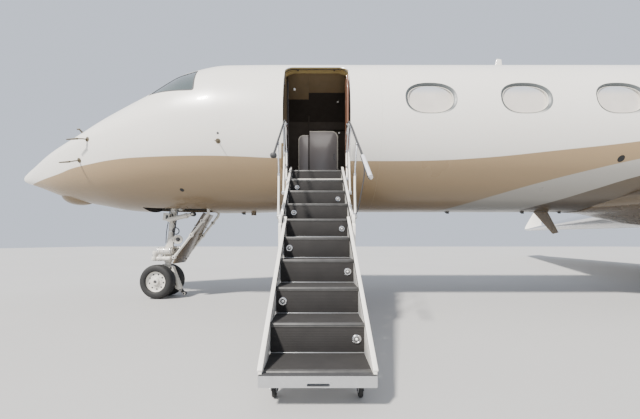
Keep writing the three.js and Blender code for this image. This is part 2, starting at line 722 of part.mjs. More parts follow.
function fanBlade(index) {
  const angle = (index / FAN.blades) * Math.PI * 2;
  const outward = new THREE.Vector3(0, Math.sin(angle), Math.cos(angle));
  const round = new THREE.Vector3(0, Math.cos(angle), -Math.sin(angle));
  const [along, turn] = [Math.cos(degrees(FAN.twist)), Math.sin(degrees(FAN.twist))];
  const rings = [[FAN.root, 130], [FAN.tip, 170]].map(([radius, chord]) => {
    return [[-1, -1], [1, -1], [1, 1], [-1, 1]].map(([front, face]) => {
      const x = FAN.middle + front * chord / 2 * along - face * FAN.thickness / 2 * turn;
      const sweep = front * chord / 2 * turn + face * FAN.thickness / 2 * along;
      const point = outward.clone().multiplyScalar(radius).addScaledVector(round, sweep);
      return [x, point.y, point.z];
    });
  });
  return loft(rings);
}

function buildEngines() {
  for (const [side, word] of [[-1, 'left'], [1, 'right']]) {
    const spun = (profile, y = side * NACELLE.y) => solid(
      spunAlongX(profile, NACELLE.front, y, NACELLE.height, NACELLE.segments));
    addPiece(`nacelle_${word}`, spun([...NACELLE_OUTSIDE, ...NACELLE_DUCT, NACELLE_OUTSIDE[0]]),
      WHITE, 0.3);
    addPiece(`engine_${word}`, spun(ENGINE), METAL, 0.5, 0.7);

    let fan = solid(spunAlongX(SPINNER, 0, 0, 0, 16));
    for (let i = 0; i < FAN.blades; i += 1) fan = fan.add(fanBlade(i));
    const fanPiece = addPiece(`fan_${word}`, fan, METAL, 0.4, 0.8);
    fanPiece.position.set(NACELLE.front, side * NACELLE.y, NACELLE.height);

    const grown = NACELLE_OUTSIDE.map(([r, x]) => [r + SEAT_GAP, x]);
    const shell = spun([[0, -SEAT_GAP], ...grown, [0, 5200]]);
    const pylon = cut(surfaceLoft(PYLON, side), hullLoft(17000, 25000, -SEAT_GAP), shell);
    addPiece(`pylon_${word}`, pylon, WHITE, 0.4);
  }
}

// Twin wheels on one axle, spun about it: [share of tyre radius, share of tyre width outward]
const WHEEL_SEGMENTS = 18;
const WHEEL_FACE = [[0.28, 0.3], [0.5, 0.2], [0.56, 0.42], [0.82, 0.5], [1, 0.2], [1, -0.2],
  [0.82, -0.5], [0.5, -0.35]];

function twinWheels({ radius, width, offset, axle }) {
  const flatToFlat = radius / Math.cos(Math.PI / WHEEL_SEGMENTS);
  const outer = WHEEL_FACE.map(([r, out]) => [r * flatToFlat, -(offset + out * width)]);
  const half = [[0, outer[0][1]], ...outer, [axle, outer[outer.length - 1][1]]];
  const other = half.map(([r, h]) => [r, -h]).reverse();
  const points = [...half, ...other].map(([r, h]) => new THREE.Vector2(r, h));
  return solid(new THREE.LatheGeometry(points, WHEEL_SEGMENTS, Math.PI / WHEEL_SEGMENTS));
}

const MAIN_WHEELS = { radius: 444.5, width: 280, offset: 212, axle: 48 };
const MAIN_GEAR = { station: 16200, y: 2185, piston: 55, cylinder: 95, knee: 960, top: 1640 };
const AXLE_CLEARANCE = 0.45;

// Bore that an axle of the wheels' own sided form turns in
function axleBore(axle) {
  return (axle + AXLE_CLEARANCE) / Math.cos(Math.PI / WHEEL_SEGMENTS);
}

function buildMainGear() {
  const { station, y, piston, cylinder, knee, top } = MAIN_GEAR;
  const lowered = WING.map(([wingY, z, ...rest]) => [wingY, z - SEAT_GAP, ...rest]);
  for (const [side, word] of [[-1, 'left'], [1, 'right']]) {
    const at = side * y;
    const hub = [station, at, MAIN_WHEELS.radius];
    const boss = bar([station, at - 58, hub[2]], [station, at + 58, hub[2]], 92, 92, 16);
    const bore = bar([station, at - 90, hub[2]], [station, at + 90, hub[2]],
      axleBore(MAIN_WHEELS.axle), axleBore(MAIN_WHEELS.axle), WHEEL_SEGMENTS);
    const legs = joined(bar(hub, [station, at, knee], piston), boss,
      bar([station, at, knee], [station, at, top], cylinder),
      bar([station, at, 1150], [station, side * (y - 560), 1640], 38),
      bar([station - 60, at, 1080], [station - 520, at, 1640], 34));
    const doorPlane = side * (y + 170);
    const door = box([station - 240, doorPlane - 12, 960], [station + 240, doorPlane + 12, 1640]);
    const link = bar([station, at, 1120], [station, doorPlane, 1120], 28);
    const leg = cut(joined(legs, door, link), bore, surfaceLoft(lowered, side, WING_FULLNESS),
      fairingLoft(SEAT_GAP));
    const keep = box([station - 900, Math.min(at, side * 1200) - 400, 0],
      [station + 900, Math.max(at, side * 1200) + 400, 1600]);
    addPiece(`main_leg_${word}`, leg.intersect(keep), METAL, 0.35, 0.7);
    const wheels = addPiece(`main_wheels_${word}`, twinWheels(MAIN_WHEELS), BLACK, 0.85, 0);
    wheels.position.set(...hub);
  }
}

// Nose gear: the leg leans forward going down, and its wheels stand turned a little to the
// right. Its frame sits at the foot of the leg, with z up along the leg.
const NOSE_GEAR = { station: 2495, height: 285.5, lean: 6.5, steer: -4.5, trail: -55, barrelFoot: 330 };
const NOSE_WHEELS = { radius: 290, width: 178, offset: 150, axle: 32 };

// Bars of the fixed leg on its middle plane: from [x, z] to [x, z], radius
const LEG_BARS = [
  [[0, NOSE_GEAR.barrelFoot + SEAT_GAP], [0, 640], 66],
  [[0, 600], [0, 1320], 56],
  [[0, 455], [215, 455], 40],
  [[60, 600], [322, 645], 22],
];
// The same in pairs: from [x, y, z] to [x, y, z], radius. Steering cylinders with their heads,
// then the tubes of the drag brace.
const LEG_PAIRS = [
  [[-148, 105, 518], [108, 105, 547], 62],
  [[-140, 105, 385], [98, 105, 412], 42],
  [[-190, 105, 345], [-178, 105, 512], 48],
  [[215, 245, 455], [708, 245, 1262], 24],
  [[708, 245, 1262], [694, 245, 1357], 24],
];
// Bars across the leg: [x, z], half length, radius
const LEG_CROSSBARS = [
  [[0, 1320], NOSE_BAY.half - SEAT_GAP, 45],
  [[694, 1357], NOSE_BAY.half - SEAT_GAP, 34],
  [[215, 455], 245, 26],
  [[-20, 530], 105, 45],
  [[0, 400], 105, 30],
];
const BRACE_DOOR = { half: 215, outline: [[183, 351], [205, 341], [627, 1252], [605, 1262]] };
const RETRACTION_JACK = { from: [-27, -110, 1074], to: [409, -110, 1227], radius: 44 };
const JACK_HEAD = [[-170, -132, 1050], [-10, -62, 1180]];
const NOSE_LAMP = { foot: [165, -60, 756], face: [190, -140, 756], radius: 78, stem: 30 };
const TORQUE_LINK = { head: [82, 245], headRadius: 34, elbow: [300, -128], elbowRadius: 21,
  foot: [15, 0], footRadius: 30, half: 38 };
const TOW_FITTING = { at: [366, -177], radius: 33, half: 30 };

// Outline of a link with round ends, as [x, z]
function linkOutline([ax, az], ra, [bx, bz], rb, steps = 4) {
  const along = Math.atan2(bz - az, bx - ax);
  const arc = (x, z, radius, middle) => Array.from({ length: steps + 1 }, (_, k) => {
    const angle = middle + Math.PI * (k / steps - 0.5);
    return [x + radius * Math.cos(angle), z + radius * Math.sin(angle)];
  });
  return [...arc(ax, az, ra, along + Math.PI), ...arc(bx, bz, rb, along)];
}

function crossBar([x, z], half, radius) {
  return bar([x, -half, z], [x, half, z], radius);
}

function noseLeg() {
  const bayRoof = NOSE_BAY.roof - NOSE_GEAR.height - 3;
  const { foot, face, radius, stem } = NOSE_LAMP;
  const { from, to } = RETRACTION_JACK;
  return joined(...LEG_BARS.map(([[x0, z0], [x1, z1], r]) => bar([x0, 0, z0], [x1, 0, z1], r)),
    bar([0, 0, 1290], [0, 0, bayRoof], 50),
    ...LEG_CROSSBARS.map(([at, half, r]) => crossBar(at, half, r)),
    ...[-1, 1].flatMap((side) => LEG_PAIRS.map(([a, b, r]) => bar([a[0], side * a[1], a[2]],
      [b[0], side * b[1], b[2]], r))),
    slab(BRACE_DOOR.outline, 'y', -BRACE_DOOR.half, BRACE_DOOR.half),
    bar(from, to, RETRACTION_JACK.radius), box(...JACK_HEAD), bar(from, [0, 0, from[2]], 34),
    bar([0, 0, foot[2]], foot, stem), bar(foot, face, radius, radius, 14));
}

function noseFork(hub) {
  const { head, headRadius, elbow, elbowRadius, foot, footRadius, half } = TORQUE_LINK;
  const { at, radius, half: towHalf } = TOW_FITTING;
  const axleHole = axleBore(NOSE_WHEELS.axle);
  const bore = bar([hub[0], -60, 0], [hub[0], 60, 0], axleHole, axleHole, WHEEL_SEGMENTS);
  const boss = bar([hub[0], -34, 0], [hub[0], 34, 0], 62, 62, 16);
  return cut(joined(bar([0, 0, 195], [0, 0, NOSE_GEAR.barrelFoot], 52, 52, 16),
    bar([0, 0, -20], [0, 0, 260], 33, 33, 16), bar([0, 0, 70], [hub[0], 0, 20], 34), boss,
    slab(linkOutline(head, headRadius, elbow, elbowRadius), 'y', -half, half),
    slab(linkOutline([0, 240], 40, head, headRadius), 'y', -half + 8, half - 8),
    slab(linkOutline(elbow, elbowRadius, foot, footRadius), 'y', -20, 20),
    slab(linkOutline(elbow, elbowRadius, at, 24), 'y', -14, 14),
    crossBar(elbow, 50, 20), crossBar(at, towHalf, radius)), bore);
}

function buildNoseGear() {
  const leg = new THREE.Group();
  leg.position.set(NOSE_GEAR.station, 0, NOSE_GEAR.height);
  leg.rotation.y = degrees(NOSE_GEAR.lean);
  plane.add(leg);
  addPiece('nose_leg', noseLeg(), WHITE, 0.4, 0.3, leg);

  const steering = new THREE.Group();
  steering.rotation.z = degrees(NOSE_GEAR.steer);
  leg.add(steering);
  const hub = [NOSE_GEAR.trail, 0, 0];
  addPiece('nose_steering', noseFork(hub), WHITE, 0.4, 0.3, steering);

  // The wheels' flats lie level with the ground
  const wheels = addPiece('nose_wheels', twinWheels(NOSE_WHEELS), BLACK, 0.85, 0, steering);
  wheels.position.set(...hub);
  wheels.rotation.y = degrees(-NOSE_GEAR.lean);
}

// Airstair. Steps count up from the ground; [y, z] of a nosing, and the door skin that hangs
// below the upper flight, turned down about its hinge at the sill.
const STAIR = { y: -3410, z: 223, run: 271, rise: 197, plate: 22 };
const FOLD = { y: -2150, above: 46, pin: 16 };
const DOOR_SKIN = { hingeY: -900, hingeZ: 1900, open: 140, thickness: 90, half: 452 };
const LOWER_STRINGER = { inner: 316, outer: 336 };
const UPPER_STRINGER = { inner: 352, outer: 380 };

function nosing(step) {
  return [STAIR.y + STAIR.run * step, STAIR.z + STAIR.rise * step];
}

function nosingHeight(y) {
  return STAIR.z + STAIR.rise * (y - STAIR.y) / STAIR.run;
}

// Steps from one tread to another as one folded plate; startDrop hangs a riser below the first
function stepPlate(first, last, startDrop, endTrim, half) {
  const [startY, startZ] = nosing(first);
  const top = [[startY, startZ - startDrop], [startY, startZ]];
  for (let step = first + 1; step <= last; step += 1) {
    const [y, z] = nosing(step);
    top.push([y, z - STAIR.rise], [y, z]);
  }
  const [endY, endZ] = nosing(last + 1);
  top.push([endY - endTrim, endZ - STAIR.rise]);
  const under = top.map(([y, z]) => [y + STAIR.plate, z - STAIR.plate]).reverse();
  under[0] = [endY - endTrim, endZ - STAIR.rise - STAIR.plate];
  under[under.length - 1] = [startY + STAIR.plate, startZ - startDrop];
  return slab([...top, ...under], 'x', DOOR_STATION - half, DOOR_STATION + half);
}

function besideStairs(outline, { inner, outer }) {
  return [-1, 1].map((side) => {
    const [from, to] = side > 0 ? [inner, outer] : [-outer, -inner];
    return slab(outline, 'x', DOOR_STATION + from, DOOR_STATION + to);
  });
}

// Band along the flight, above and below the line through the nosings
function band(fromY, toY, above, below) {
  return [[fromY, nosingHeight(fromY) - below], [toY, nosingHeight(toY) - below],
    [toY, nosingHeight(toY) + above], [fromY, nosingHeight(fromY) + above]];
}

function turnAbout(point, pivot, angle) {
  const [dy, dz] = [point[0] - pivot[0], point[1] - pivot[1]];
  const [c, s] = [Math.cos(angle), Math.sin(angle)];
  return [pivot[0] + dy * c - dz * s, pivot[1] + dy * s + dz * c];
}

function doorSkin(grow) {
  const { hingeY, hingeZ, open, thickness, half } = DOOR_SKIN;
  const gap = 8;
  const angleAt = (z) => Math.asin((z - BARREL_HEIGHT) / BARREL_RADIUS);
  const [low, high] = [angleAt(DOOR_LOW + gap), angleAt(DOOR_HIGH - gap)];
  const steps = 12;
  const arc = (radius, from, to) => Array.from({ length: steps + 1 }, (_, i) => {
    const angle = lerp(from, to, i / steps);
    return [-radius * Math.cos(angle), BARREL_HEIGHT + radius * Math.sin(angle)];
  });
  const spread = grow / BARREL_RADIUS;
  const outside = arc(BARREL_RADIUS + grow, low - spread, high + spread);
  const inside = arc(BARREL_RADIUS - thickness - grow, high + spread, low - spread);
  const outline = [...outside, ...inside]
    .map((point) => turnAbout(point, [hingeY, hingeZ], degrees(open)));
  return slab(outline, 'x', DOOR_STATION - half - grow, DOOR_STATION + half + grow);
}

function buildAirstair() {
  const hinge = [FOLD.y, nosingHeight(FOLD.y) + FOLD.above];
  const pinAt = (x) => [DOOR_STATION + x, ...hinge];

  addPiece('airstair_door', doorSkin(0), WHITE, 0.35);

  const upperBand = band(FOLD.y - 95, nosing(9)[0] + STAIR.plate, 62, 165);
  const lobes = [-1, 1].map((side) => bar(pinAt(side * UPPER_STRINGER.inner),
    pinAt(side * UPPER_STRINGER.outer), 66, 66, 16));
  const upperHalf = UPPER_STRINGER.inner + 1;
  const shelf = slab([[nosing(9)[0], nosing(9)[1] - STAIR.rise], [nosing(9)[0], nosing(9)[1]],
    [nosing(9)[0] + STAIR.plate, nosing(9)[1]], [nosing(9)[0] + STAIR.plate,
      nosing(9)[1] - STAIR.rise]], 'x', DOOR_STATION - upperHalf, DOOR_STATION + upperHalf);
  const pinHoles = [-1, 1].map((side) => bar(pinAt(side * 330), pinAt(side * 400),
    FOLD.pin + 1, FOLD.pin + 1, 16));
  const firstRiser = STAIR.rise - 8;
  const upper = cut(joined(stepPlate(5, 8, firstRiser, 0, upperHalf), shelf,
    ...besideStairs(upperBand, UPPER_STRINGER), ...lobes), ...pinHoles, doorSkin(SEAT_GAP));
  addPiece('airstair_upper', upper, GREY, 0.7, 0);

  const lowerBand = [[STAIR.y - 30, 150], [STAIR.y + 150, 150],
    ...band(STAIR.y + 150, FOLD.y + 60, 45, 160).slice(1, 3),
    [STAIR.y - 30, nosingHeight(STAIR.y - 30) + 45]];
  const skirt = slab([[STAIR.y - 30, 150], [STAIR.y, 150], [STAIR.y, 216], [STAIR.y - 30, 216]],
    'x', DOOR_STATION - LOWER_STRINGER.outer, DOOR_STATION + LOWER_STRINGER.outer);
  const castorY = -3260;
  const castors = [-268, 268].flatMap((x) => {
    const station = DOOR_STATION + x;
    return [bar([station - 16, castorY, 47.2], [station + 16, castorY, 47.2], 47, 47, 16),
      bar([station, castorY, 47.2], [station, castorY + 20, 215], 14)];
  });
  const pins = [-1, 1].map((side) => bar(pinAt(side * 325), pinAt(side * 378), FOLD.pin, FOLD.pin, 16));
  const lower = joined(stepPlate(0, 4, 75, 8, LOWER_STRINGER.inner + 1), skirt,
    ...besideStairs(lowerBand, LOWER_STRINGER), ...castors, ...pins);
  addPiece('airstair_lower', lower, GREY, 0.7, 0);
}

// Handrails beside the upper flight, on posts that stand out from its side plates.
// Points are [x from the stair's middle, y, z].
const RAILS = {
  left: { side: -1, rail: [[-415, -1130, 2440], [-425, -1300, 2550], [-440, -1750, 2185],
    [-450, -2200, 1820]] },
  right: { side: 1, rail: [[415, -1130, 2440], [425, -1300, 2550], [445, -1950, 2045],
    [460, -2590, 1530]] },
};
const POSTS = [
  // foot y, middle y, middle height, rail y
  [-1230, -1150, 2200, -1300],
  [-1560, -1420, 2130, -1450],
  [-2020, -1960, 1700, -1900],
];

function buildHandrails() {
  for (const [word, { side, rail }] of Object.entries(RAILS)) {
    const at = ([x, y, z]) => [DOOR_STATION + x, y, z];
    const curve = new THREE.CatmullRomCurve3(rail.map((point) => new THREE.Vector3(...point)));
    const onRail = (y) => curve.getPoints(80)
      .reduce((best, p) => (Math.abs(p.y - y) < Math.abs(best.y - y) ? p : best));
    const pieces = [tube(rail.map(at), 15, 9)];
    for (const [footY, midY, midZ, railY] of POSTS) {
      const foot = [side * 408, footY, nosingHeight(footY) + 5];
      const head = onRail(railY).toArray();
      pieces.push(tube([foot, [side * 412, midY, midZ], head].map(at), 14, 4));
      pieces.push(bar(at([side * (UPPER_STRINGER.outer + SEAT_GAP), foot[1], foot[2]]),
        at([side * 420, foot[1], foot[2]]), 24));
    }
    addPiece(`handrail_${word}`, joined(...pieces), DARK, 0.4, 0.3);
  }
}

buildHull();
buildHatch();
buildGlazing();
buildInterior();
buildCockpit();
buildFairing();
buildWings();
buildTail();
buildEngines();
buildMainGear();
buildNoseGear();
buildAirstair();
buildHandrails();

export default plane;
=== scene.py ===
import math

import bmesh
import bpy
import numpy as np
from mathutils import Matrix, Vector


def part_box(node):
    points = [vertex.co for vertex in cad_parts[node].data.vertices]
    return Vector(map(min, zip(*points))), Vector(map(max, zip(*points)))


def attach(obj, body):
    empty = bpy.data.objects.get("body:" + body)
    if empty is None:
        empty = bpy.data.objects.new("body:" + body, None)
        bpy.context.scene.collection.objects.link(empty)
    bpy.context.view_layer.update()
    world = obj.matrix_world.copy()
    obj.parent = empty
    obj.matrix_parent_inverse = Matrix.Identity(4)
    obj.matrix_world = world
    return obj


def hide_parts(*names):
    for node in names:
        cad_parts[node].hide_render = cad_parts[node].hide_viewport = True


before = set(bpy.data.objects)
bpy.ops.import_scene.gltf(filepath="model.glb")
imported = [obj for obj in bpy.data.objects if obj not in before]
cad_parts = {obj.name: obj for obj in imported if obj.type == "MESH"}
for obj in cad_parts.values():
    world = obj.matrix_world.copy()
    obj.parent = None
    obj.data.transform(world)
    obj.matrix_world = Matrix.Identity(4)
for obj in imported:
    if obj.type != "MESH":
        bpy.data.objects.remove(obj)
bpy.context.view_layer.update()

# Millimetres in the tables: a station runs aft from the nose tip, y to starboard, z up.
LENGTH = 29390.0
AFT, STARBOARD, UP = (1, 0, 0), (0, 1, 0), (0, 0, 1)
SIDES = ((-1, "left"), (1, "right"))


def metres(points):
    p = np.asarray(points, float).reshape(-1, 3) / 1000.0
    p[:, 0] -= LENGTH / 2000.0
    return p


# Camera, at the place solved from the photo

CAMERA = {"at": (-9.544, -5.04, 0.966), "sensor": 36.0, "lens": 16.0,
          "shift": (0.00625, 0.05125), "far": 200.0}
cam_data = bpy.data.cameras.new("view")
cam_data.sensor_width = CAMERA["sensor"]
cam_data.lens = CAMERA["lens"]
cam_data.shift_x, cam_data.shift_y = CAMERA["shift"]
cam_data.clip_end = CAMERA["far"]
cam = bpy.data.objects.new("view", cam_data)
cam.location = CAMERA["at"]
cam.rotation_euler = (math.radians(90), 0, 0)
bpy.context.collection.objects.link(cam)
bpy.context.scene.camera = cam


# Materials


class Graph:
    """Short names for building a node tree."""

    def __init__(self, name):
        self.mat = bpy.data.materials.new(name)
        self.mat.use_nodes = True
        self.tree = self.mat.node_tree
        self.bsdf = self.tree.nodes["Principled BSDF"]
        self.coord = self.tree.nodes.new("ShaderNodeTexCoord").outputs["Object"]

    def node(self, kind, **values):
        made = self.tree.nodes.new(kind)
        for key, value in values.items():
            setattr(made, key, value)
        return made

    def link(self, a, b):
        self.tree.links.new(a, b)

    def put(self, socket, value):
        if isinstance(value, bpy.types.NodeSocket):
            self.link(value, socket)
        else:
            socket.default_value = value

    def math(self, op, a, b=None, c=None, clamp=False):
        made = self.node("ShaderNodeMath", operation=op, use_clamp=clamp)
        for i, value in enumerate((a, b, c)):
            if value is not None:
                self.put(made.inputs[i], value)
        return made.outputs[0]

    def noise(self, scale, detail=3.0, rough=0.5, stretch=None, coord=None):
        made = self.node("ShaderNodeTexNoise")
        made.inputs["Scale"].default_value = scale
        made.inputs["Detail"].default_value = detail
        made.inputs["Roughness"].default_value = rough
        source = coord or self.coord
        if stretch:
            mapping = self.node("ShaderNodeMapping")
            mapping.inputs["Scale"].default_value = stretch
            self.link(source, mapping.inputs["Vector"])
            source = mapping.outputs["Vector"]
        self.link(source, made.inputs["Vector"])
        return made.outputs["Fac"]

    def between(self, value, low, high, to_low=0.0, to_high=1.0, smooth=False):
        made = self.node("ShaderNodeMapRange")
        if smooth:
            made.interpolation_type = "SMOOTHSTEP"
        self.put(made.inputs["Value"], value)
        for key, number in (("From Min", low), ("From Max", high), ("To Min", to_low), ("To Max", to_high)):
            self.put(made.inputs[key], number)
        return made.outputs["Result"]

    def mix(self, share, a, b):
        made = self.node("ShaderNodeMix", data_type="RGBA")
        self.put(made.inputs[0], share)
        self.put(made.inputs[6], a if isinstance(a, bpy.types.NodeSocket) else (*a, 1.0))
        self.put(made.inputs[7], b if isinstance(b, bpy.types.NodeSocket) else (*b, 1.0))
        return made.outputs[2]

    def times(self, color, factor):
        """The color multiplied by a factor."""
        made = self.node("ShaderNodeMix", data_type="RGBA", blend_type="MULTIPLY")
        made.inputs[0].default_value = 1.0
        self.link(color, made.inputs[6])
        self.link(factor, made.inputs[7])
        return made.outputs[2]

    def patchy(self, value, low=0.0, high=1.0):
        """The middle range of a noise, spread between low and high."""
        return self.between(value, 0.3, 0.7, low, high)

    def ripple(self, place, pitch):
        """Wave along a coordinate, with its pitch in metres."""
        return self.math("SINE", self.math("MULTIPLY", place, 2 * math.pi / pitch))

    def seams(self, place, marks, half):
        """One within half of any mark along a coordinate, else zero."""
        seam = None
        for mark in marks:
            near = self.math("LESS_THAN", self.math("ABSOLUTE", self.math("SUBTRACT", place, mark)), half)
            seam = near if seam is None else self.math("MAXIMUM", seam, near)
        return seam

    def xyz(self):
        made = self.node("ShaderNodeSeparateXYZ")
        self.link(self.coord, made.inputs[0])
        return made.outputs[0], made.outputs[1], made.outputs[2]

    def curve(self, x, points):
        """Smooth curve of metres against metres through the points."""
        made = self.node("ShaderNodeFloatCurve")
        x0, x1 = points[0][0], points[-1][0]
        spread = self.between(x, x0, x1)
        line = made.mapping.curves[0]
        line.points[0].location = (0.0, points[0][1] / 5.0)
        line.points[1].location = (1.0, points[-1][1] / 5.0)
        for px, pz in points[1:-1]:
            line.points.new((px - x0) / (x1 - x0), pz / 5.0)
        for point in line.points:
            point.handle_type = "AUTO_CLAMPED"
        made.mapping.update()
        self.link(spread, made.inputs["Value"])
        return self.math("MULTIPLY", made.outputs[0], 5.0)

    def bump(self, height, distance, strength=1.0, before=None):
        made = self.node("ShaderNodeBump")
        made.inputs["Strength"].default_value = strength
        made.inputs["Distance"].default_value = distance
        self.link(height, made.inputs["Height"])
        if before:
            self.link(before, made.inputs["Normal"])
        return made.outputs["Normal"]

    def done(self, color=None, rough=None, metal=0.0, normal=None, coat=0.0, coat_rough=0.05, **more):
        inputs = self.bsdf.inputs
        if color is not None:
            self.put(inputs["Base Color"], color if isinstance(color, bpy.types.NodeSocket)
                     else (*color, 1.0))
        if rough is not None:
            self.put(inputs["Roughness"], rough)
        inputs["Metallic"].default_value = metal
        if normal is not None:
            self.link(normal, inputs["Normal"])
        if coat:
            inputs["Coat Weight"].default_value = coat
            inputs["Coat Roughness"].default_value = coat_rough
        for key, value in more.items():
            self.put(inputs[key.replace("_", " ")], value)
        return self.mat


def plain(name, color, rough, metal=0.0, coat=0.0, spread=0.06, scale=3.0, grain=220.0, depth=0.0002,
          strength=0.15, stretch=None, **more):
    """Even finish whose tint, sheen and surface vary a little from place to place."""
    g = Graph(name)
    tint = g.patchy(g.noise(scale, 4.0, 0.6))
    dark = tuple(c * (1 - spread) for c in color)
    fine = g.noise(grain, 2.0, 0.5, stretch)
    sheen = g.patchy(g.noise(scale * 2.3, 3.0), max(rough - 0.05, 0.02), rough + 0.05)
    return g.done(g.mix(tint, dark, color), sheen, metal, g.bump(fine, depth, strength), coat, **more)


WHITE_RGB = (0.87, 0.84, 0.78)
TAN_RGB = (0.315, 0.220, 0.118)
# darker tan below the swoosh, on the fairing, the belly blade and the gear panel: painted shade
SHADED_TAN_RGB = (0.098, 0.070, 0.040)
SWOOSH_RGB = (0.40, 0.385, 0.35)

# Boundaries of the paint bands along the hull, as [station, height] in metres
WHITE_EDGE = [(0.0, 1.96), (0.33, 1.986), (1.06, 2.051), (1.41, 2.105), (1.78, 2.136), (2.11, 2.163),
              (2.48, 2.178), (3.24, 2.180), (3.95, 2.170), (4.51, 2.149), (5.91, 2.110), (6.61, 2.112),
              (7.45, 2.147), (8.53, 2.243), (9.59, 2.352), (12.5, 2.78), (16.0, 3.45),
              (19.0, 4.1), (27.0, 4.9)]
TAN_EDGE = [(0.0, 0.6), (5.0, 1.0), (7.24, 1.50), (7.75, 1.643), (8.44, 1.843), (9.2, 2.03), (9.69, 2.137),
            (12.5, 2.66), (16.0, 3.38), (19.0, 4.08), (27.0, 4.88)]
SWOOSH_EDGE = [(0.0, 0.4), (5.0, 0.7), (8.2, 1.36), (8.72, 1.547), (9.0, 1.639),
               (9.36, 1.770), (9.85, 1.932), (12.5, 2.50), (16.0, 3.2), (19.0, 3.95), (27.0, 4.8)]
PANEL_LINES = [1.15, 2.13, 3.56, 6.05, 8.6, 11.1, 13.6, 16.0, 18.6, 21.5]
SEAM_HALF = 0.0022
SEAM_RGB = (0.20, 0.19, 0.17)
EDGE_HALF = 0.004
# Factors of painted shade on the lower paint, between two heights in metres: darker towards the keel,
# lighter towards the white
KEEL_SHADE = {"heights": (1.50, 2.15), "factors": (0.42, 1.18)}


def hull_paint():
    g = Graph("hull_paint")
    x, y, z = g.xyz()
    station = g.math("ADD", x, LENGTH / 2000.0)
    masks = []
    for edge in (WHITE_EDGE, TAN_EDGE, SWOOSH_EDGE):
        line = g.curve(station, edge)
        masks.append(g.between(g.math("SUBTRACT", z, line), -EDGE_HALF, EDGE_HALF, smooth=True))
    above, below_tan, below_swoosh = masks
    # below the swoosh the tan is painted darker: painted shade, which carries on over the aft fuselage and
    # the tail
    belly = g.mix(below_swoosh, SHADED_TAN_RGB, SWOOSH_RGB)
    color = g.mix(below_tan, belly, TAN_RGB)
    # painted shade: the paint below the white is darker towards the keel and lighter near the white
    painted_keel_shade = g.between(z, *KEEL_SHADE["heights"], *KEEL_SHADE["factors"], smooth=True)
    color = g.mix(above, g.times(color, painted_keel_shade), WHITE_RGB)
    cloud = g.between(g.noise(0.8, 4.0, 0.6, (0.5, 1.0, 1.0)), 0.25, 0.75, 0.955, 1.0)
    # fine dark seams where the skin panels meet
    lines = g.math("MULTIPLY", g.seams(station, PANEL_LINES, SEAM_HALF), 0.07)
    color = g.mix(lines, g.times(color, cloud), SEAM_RGB)
    sheen = g.patchy(g.noise(1.7, 3.0), 0.27, 0.34)
    # the skin waves very slightly between its frames and stringers
    waves = g.noise(1.0, 1.0, 0.4, (1.6, 1.6, 3.2))
    normal = g.bump(waves, 0.0045, 0.35)
    return g.done(color, sheen, 0.0, normal, coat=0.15, coat_rough=0.08)


HULL_PAINT = hull_paint()
WHITE_PAINT = plain("white_paint", WHITE_RGB, 0.24, coat=0.3, spread=0.04, scale=1.2)
# the tan in painted shade
SHADED_TAN_PAINT = plain("shaded_tan_paint", SHADED_TAN_RGB, 0.27, coat=0.3, spread=0.06, scale=1.2)
GEAR_PAINT = plain("gear_paint", (0.66, 0.635, 0.575), 0.33, spread=0.12, scale=14.0)
STEEL = plain("bright_steel", (0.72, 0.72, 0.73), 0.22, 1.0, spread=0.08, scale=20.0)
CHROME = plain("polished_piston", (0.80, 0.80, 0.82), 0.08, 1.0, spread=0.04, scale=30.0)
ALLOY = plain("satin_alloy", (0.62, 0.63, 0.64), 0.36, 0.9, spread=0.10, scale=18.0)
RUBBER = plain("black_rubber", (0.017, 0.017, 0.017), 0.72, spread=0.30, scale=22.0,
               depth=0.0006, strength=0.4)
SEAL = plain("dark_seal", (0.05, 0.05, 0.052), 0.6, spread=0.2, scale=30.0)
GASKET = plain("grey_gasket", (0.33, 0.34, 0.35), 0.45, spread=0.1, scale=30.0)
JAMB = plain("olive_header", (0.115, 0.078, 0.036), 0.85, spread=0.18, scale=6.0)
GOLD = plain("gold_jamb", (0.44, 0.34, 0.15), 0.42, spread=0.14, scale=6.0)
# near black for the dim interior behind the doorway: painted shade
SHADED_INTERIOR = plain("painted_shade_interior", (0.022, 0.016, 0.012), 0.85, spread=0.2, scale=5.0)
OLIVE = plain("olive_probe", (0.115, 0.092, 0.055), 0.45, spread=0.15, scale=20.0)
PANEL_BACK = plain("panel_back", (0.20, 0.165, 0.12), 0.45, spread=0.15, scale=9.0)
# near black bay lining: painted shade
BAY_DARK = plain("bay_lining_shade", (0.055, 0.052, 0.045), 0.7, spread=0.25, scale=8.0)
LINING = plain("pale_lining", (0.70, 0.67, 0.60), 0.62, spread=0.08, scale=5.0)
MAUVE = plain("mauve_panel", (0.29, 0.27, 0.275), 0.34, coat=0.2, spread=0.06, scale=4.0)
BLACK_PLASTIC = plain("black_plastic", (0.035, 0.035, 0.037), 0.42, spread=0.2, scale=25.0)
LAVENDER = plain("pale_sleeve", (0.66, 0.66, 0.70), 0.40, spread=0.08, scale=12.0)
HOSE = plain("cable_sleeve", (0.05, 0.05, 0.055), 0.55, spread=0.2, scale=30.0)


def wood():
    g = Graph("dark_veneer")
    grain = g.noise(9.0, 6.0, 0.65, (1.0, 1.0, 0.12))
    rings = g.noise(34.0, 4.0, 0.6, (1.0, 1.0, 0.05))
    color = g.mix(g.between(grain, 0.35, 0.65), (0.012, 0.008, 0.006), (0.032, 0.017, 0.011))
    return g.done(color, g.patchy(rings, 0.20, 0.32), 0.0, g.bump(rings, 0.0002, 0.2), coat=0.5)


def red_wood():
    g = Graph("red_veneer")
    grain = g.noise(12.0, 6.0, 0.65, (1.0, 1.0, 0.10))
    color = g.mix(g.patchy(grain), (0.15, 0.070, 0.042), (0.27, 0.135, 0.085))
    return g.done(color, g.patchy(grain, 0.24, 0.34), 0.0, g.bump(grain, 0.0002, 0.2), coat=0.4)


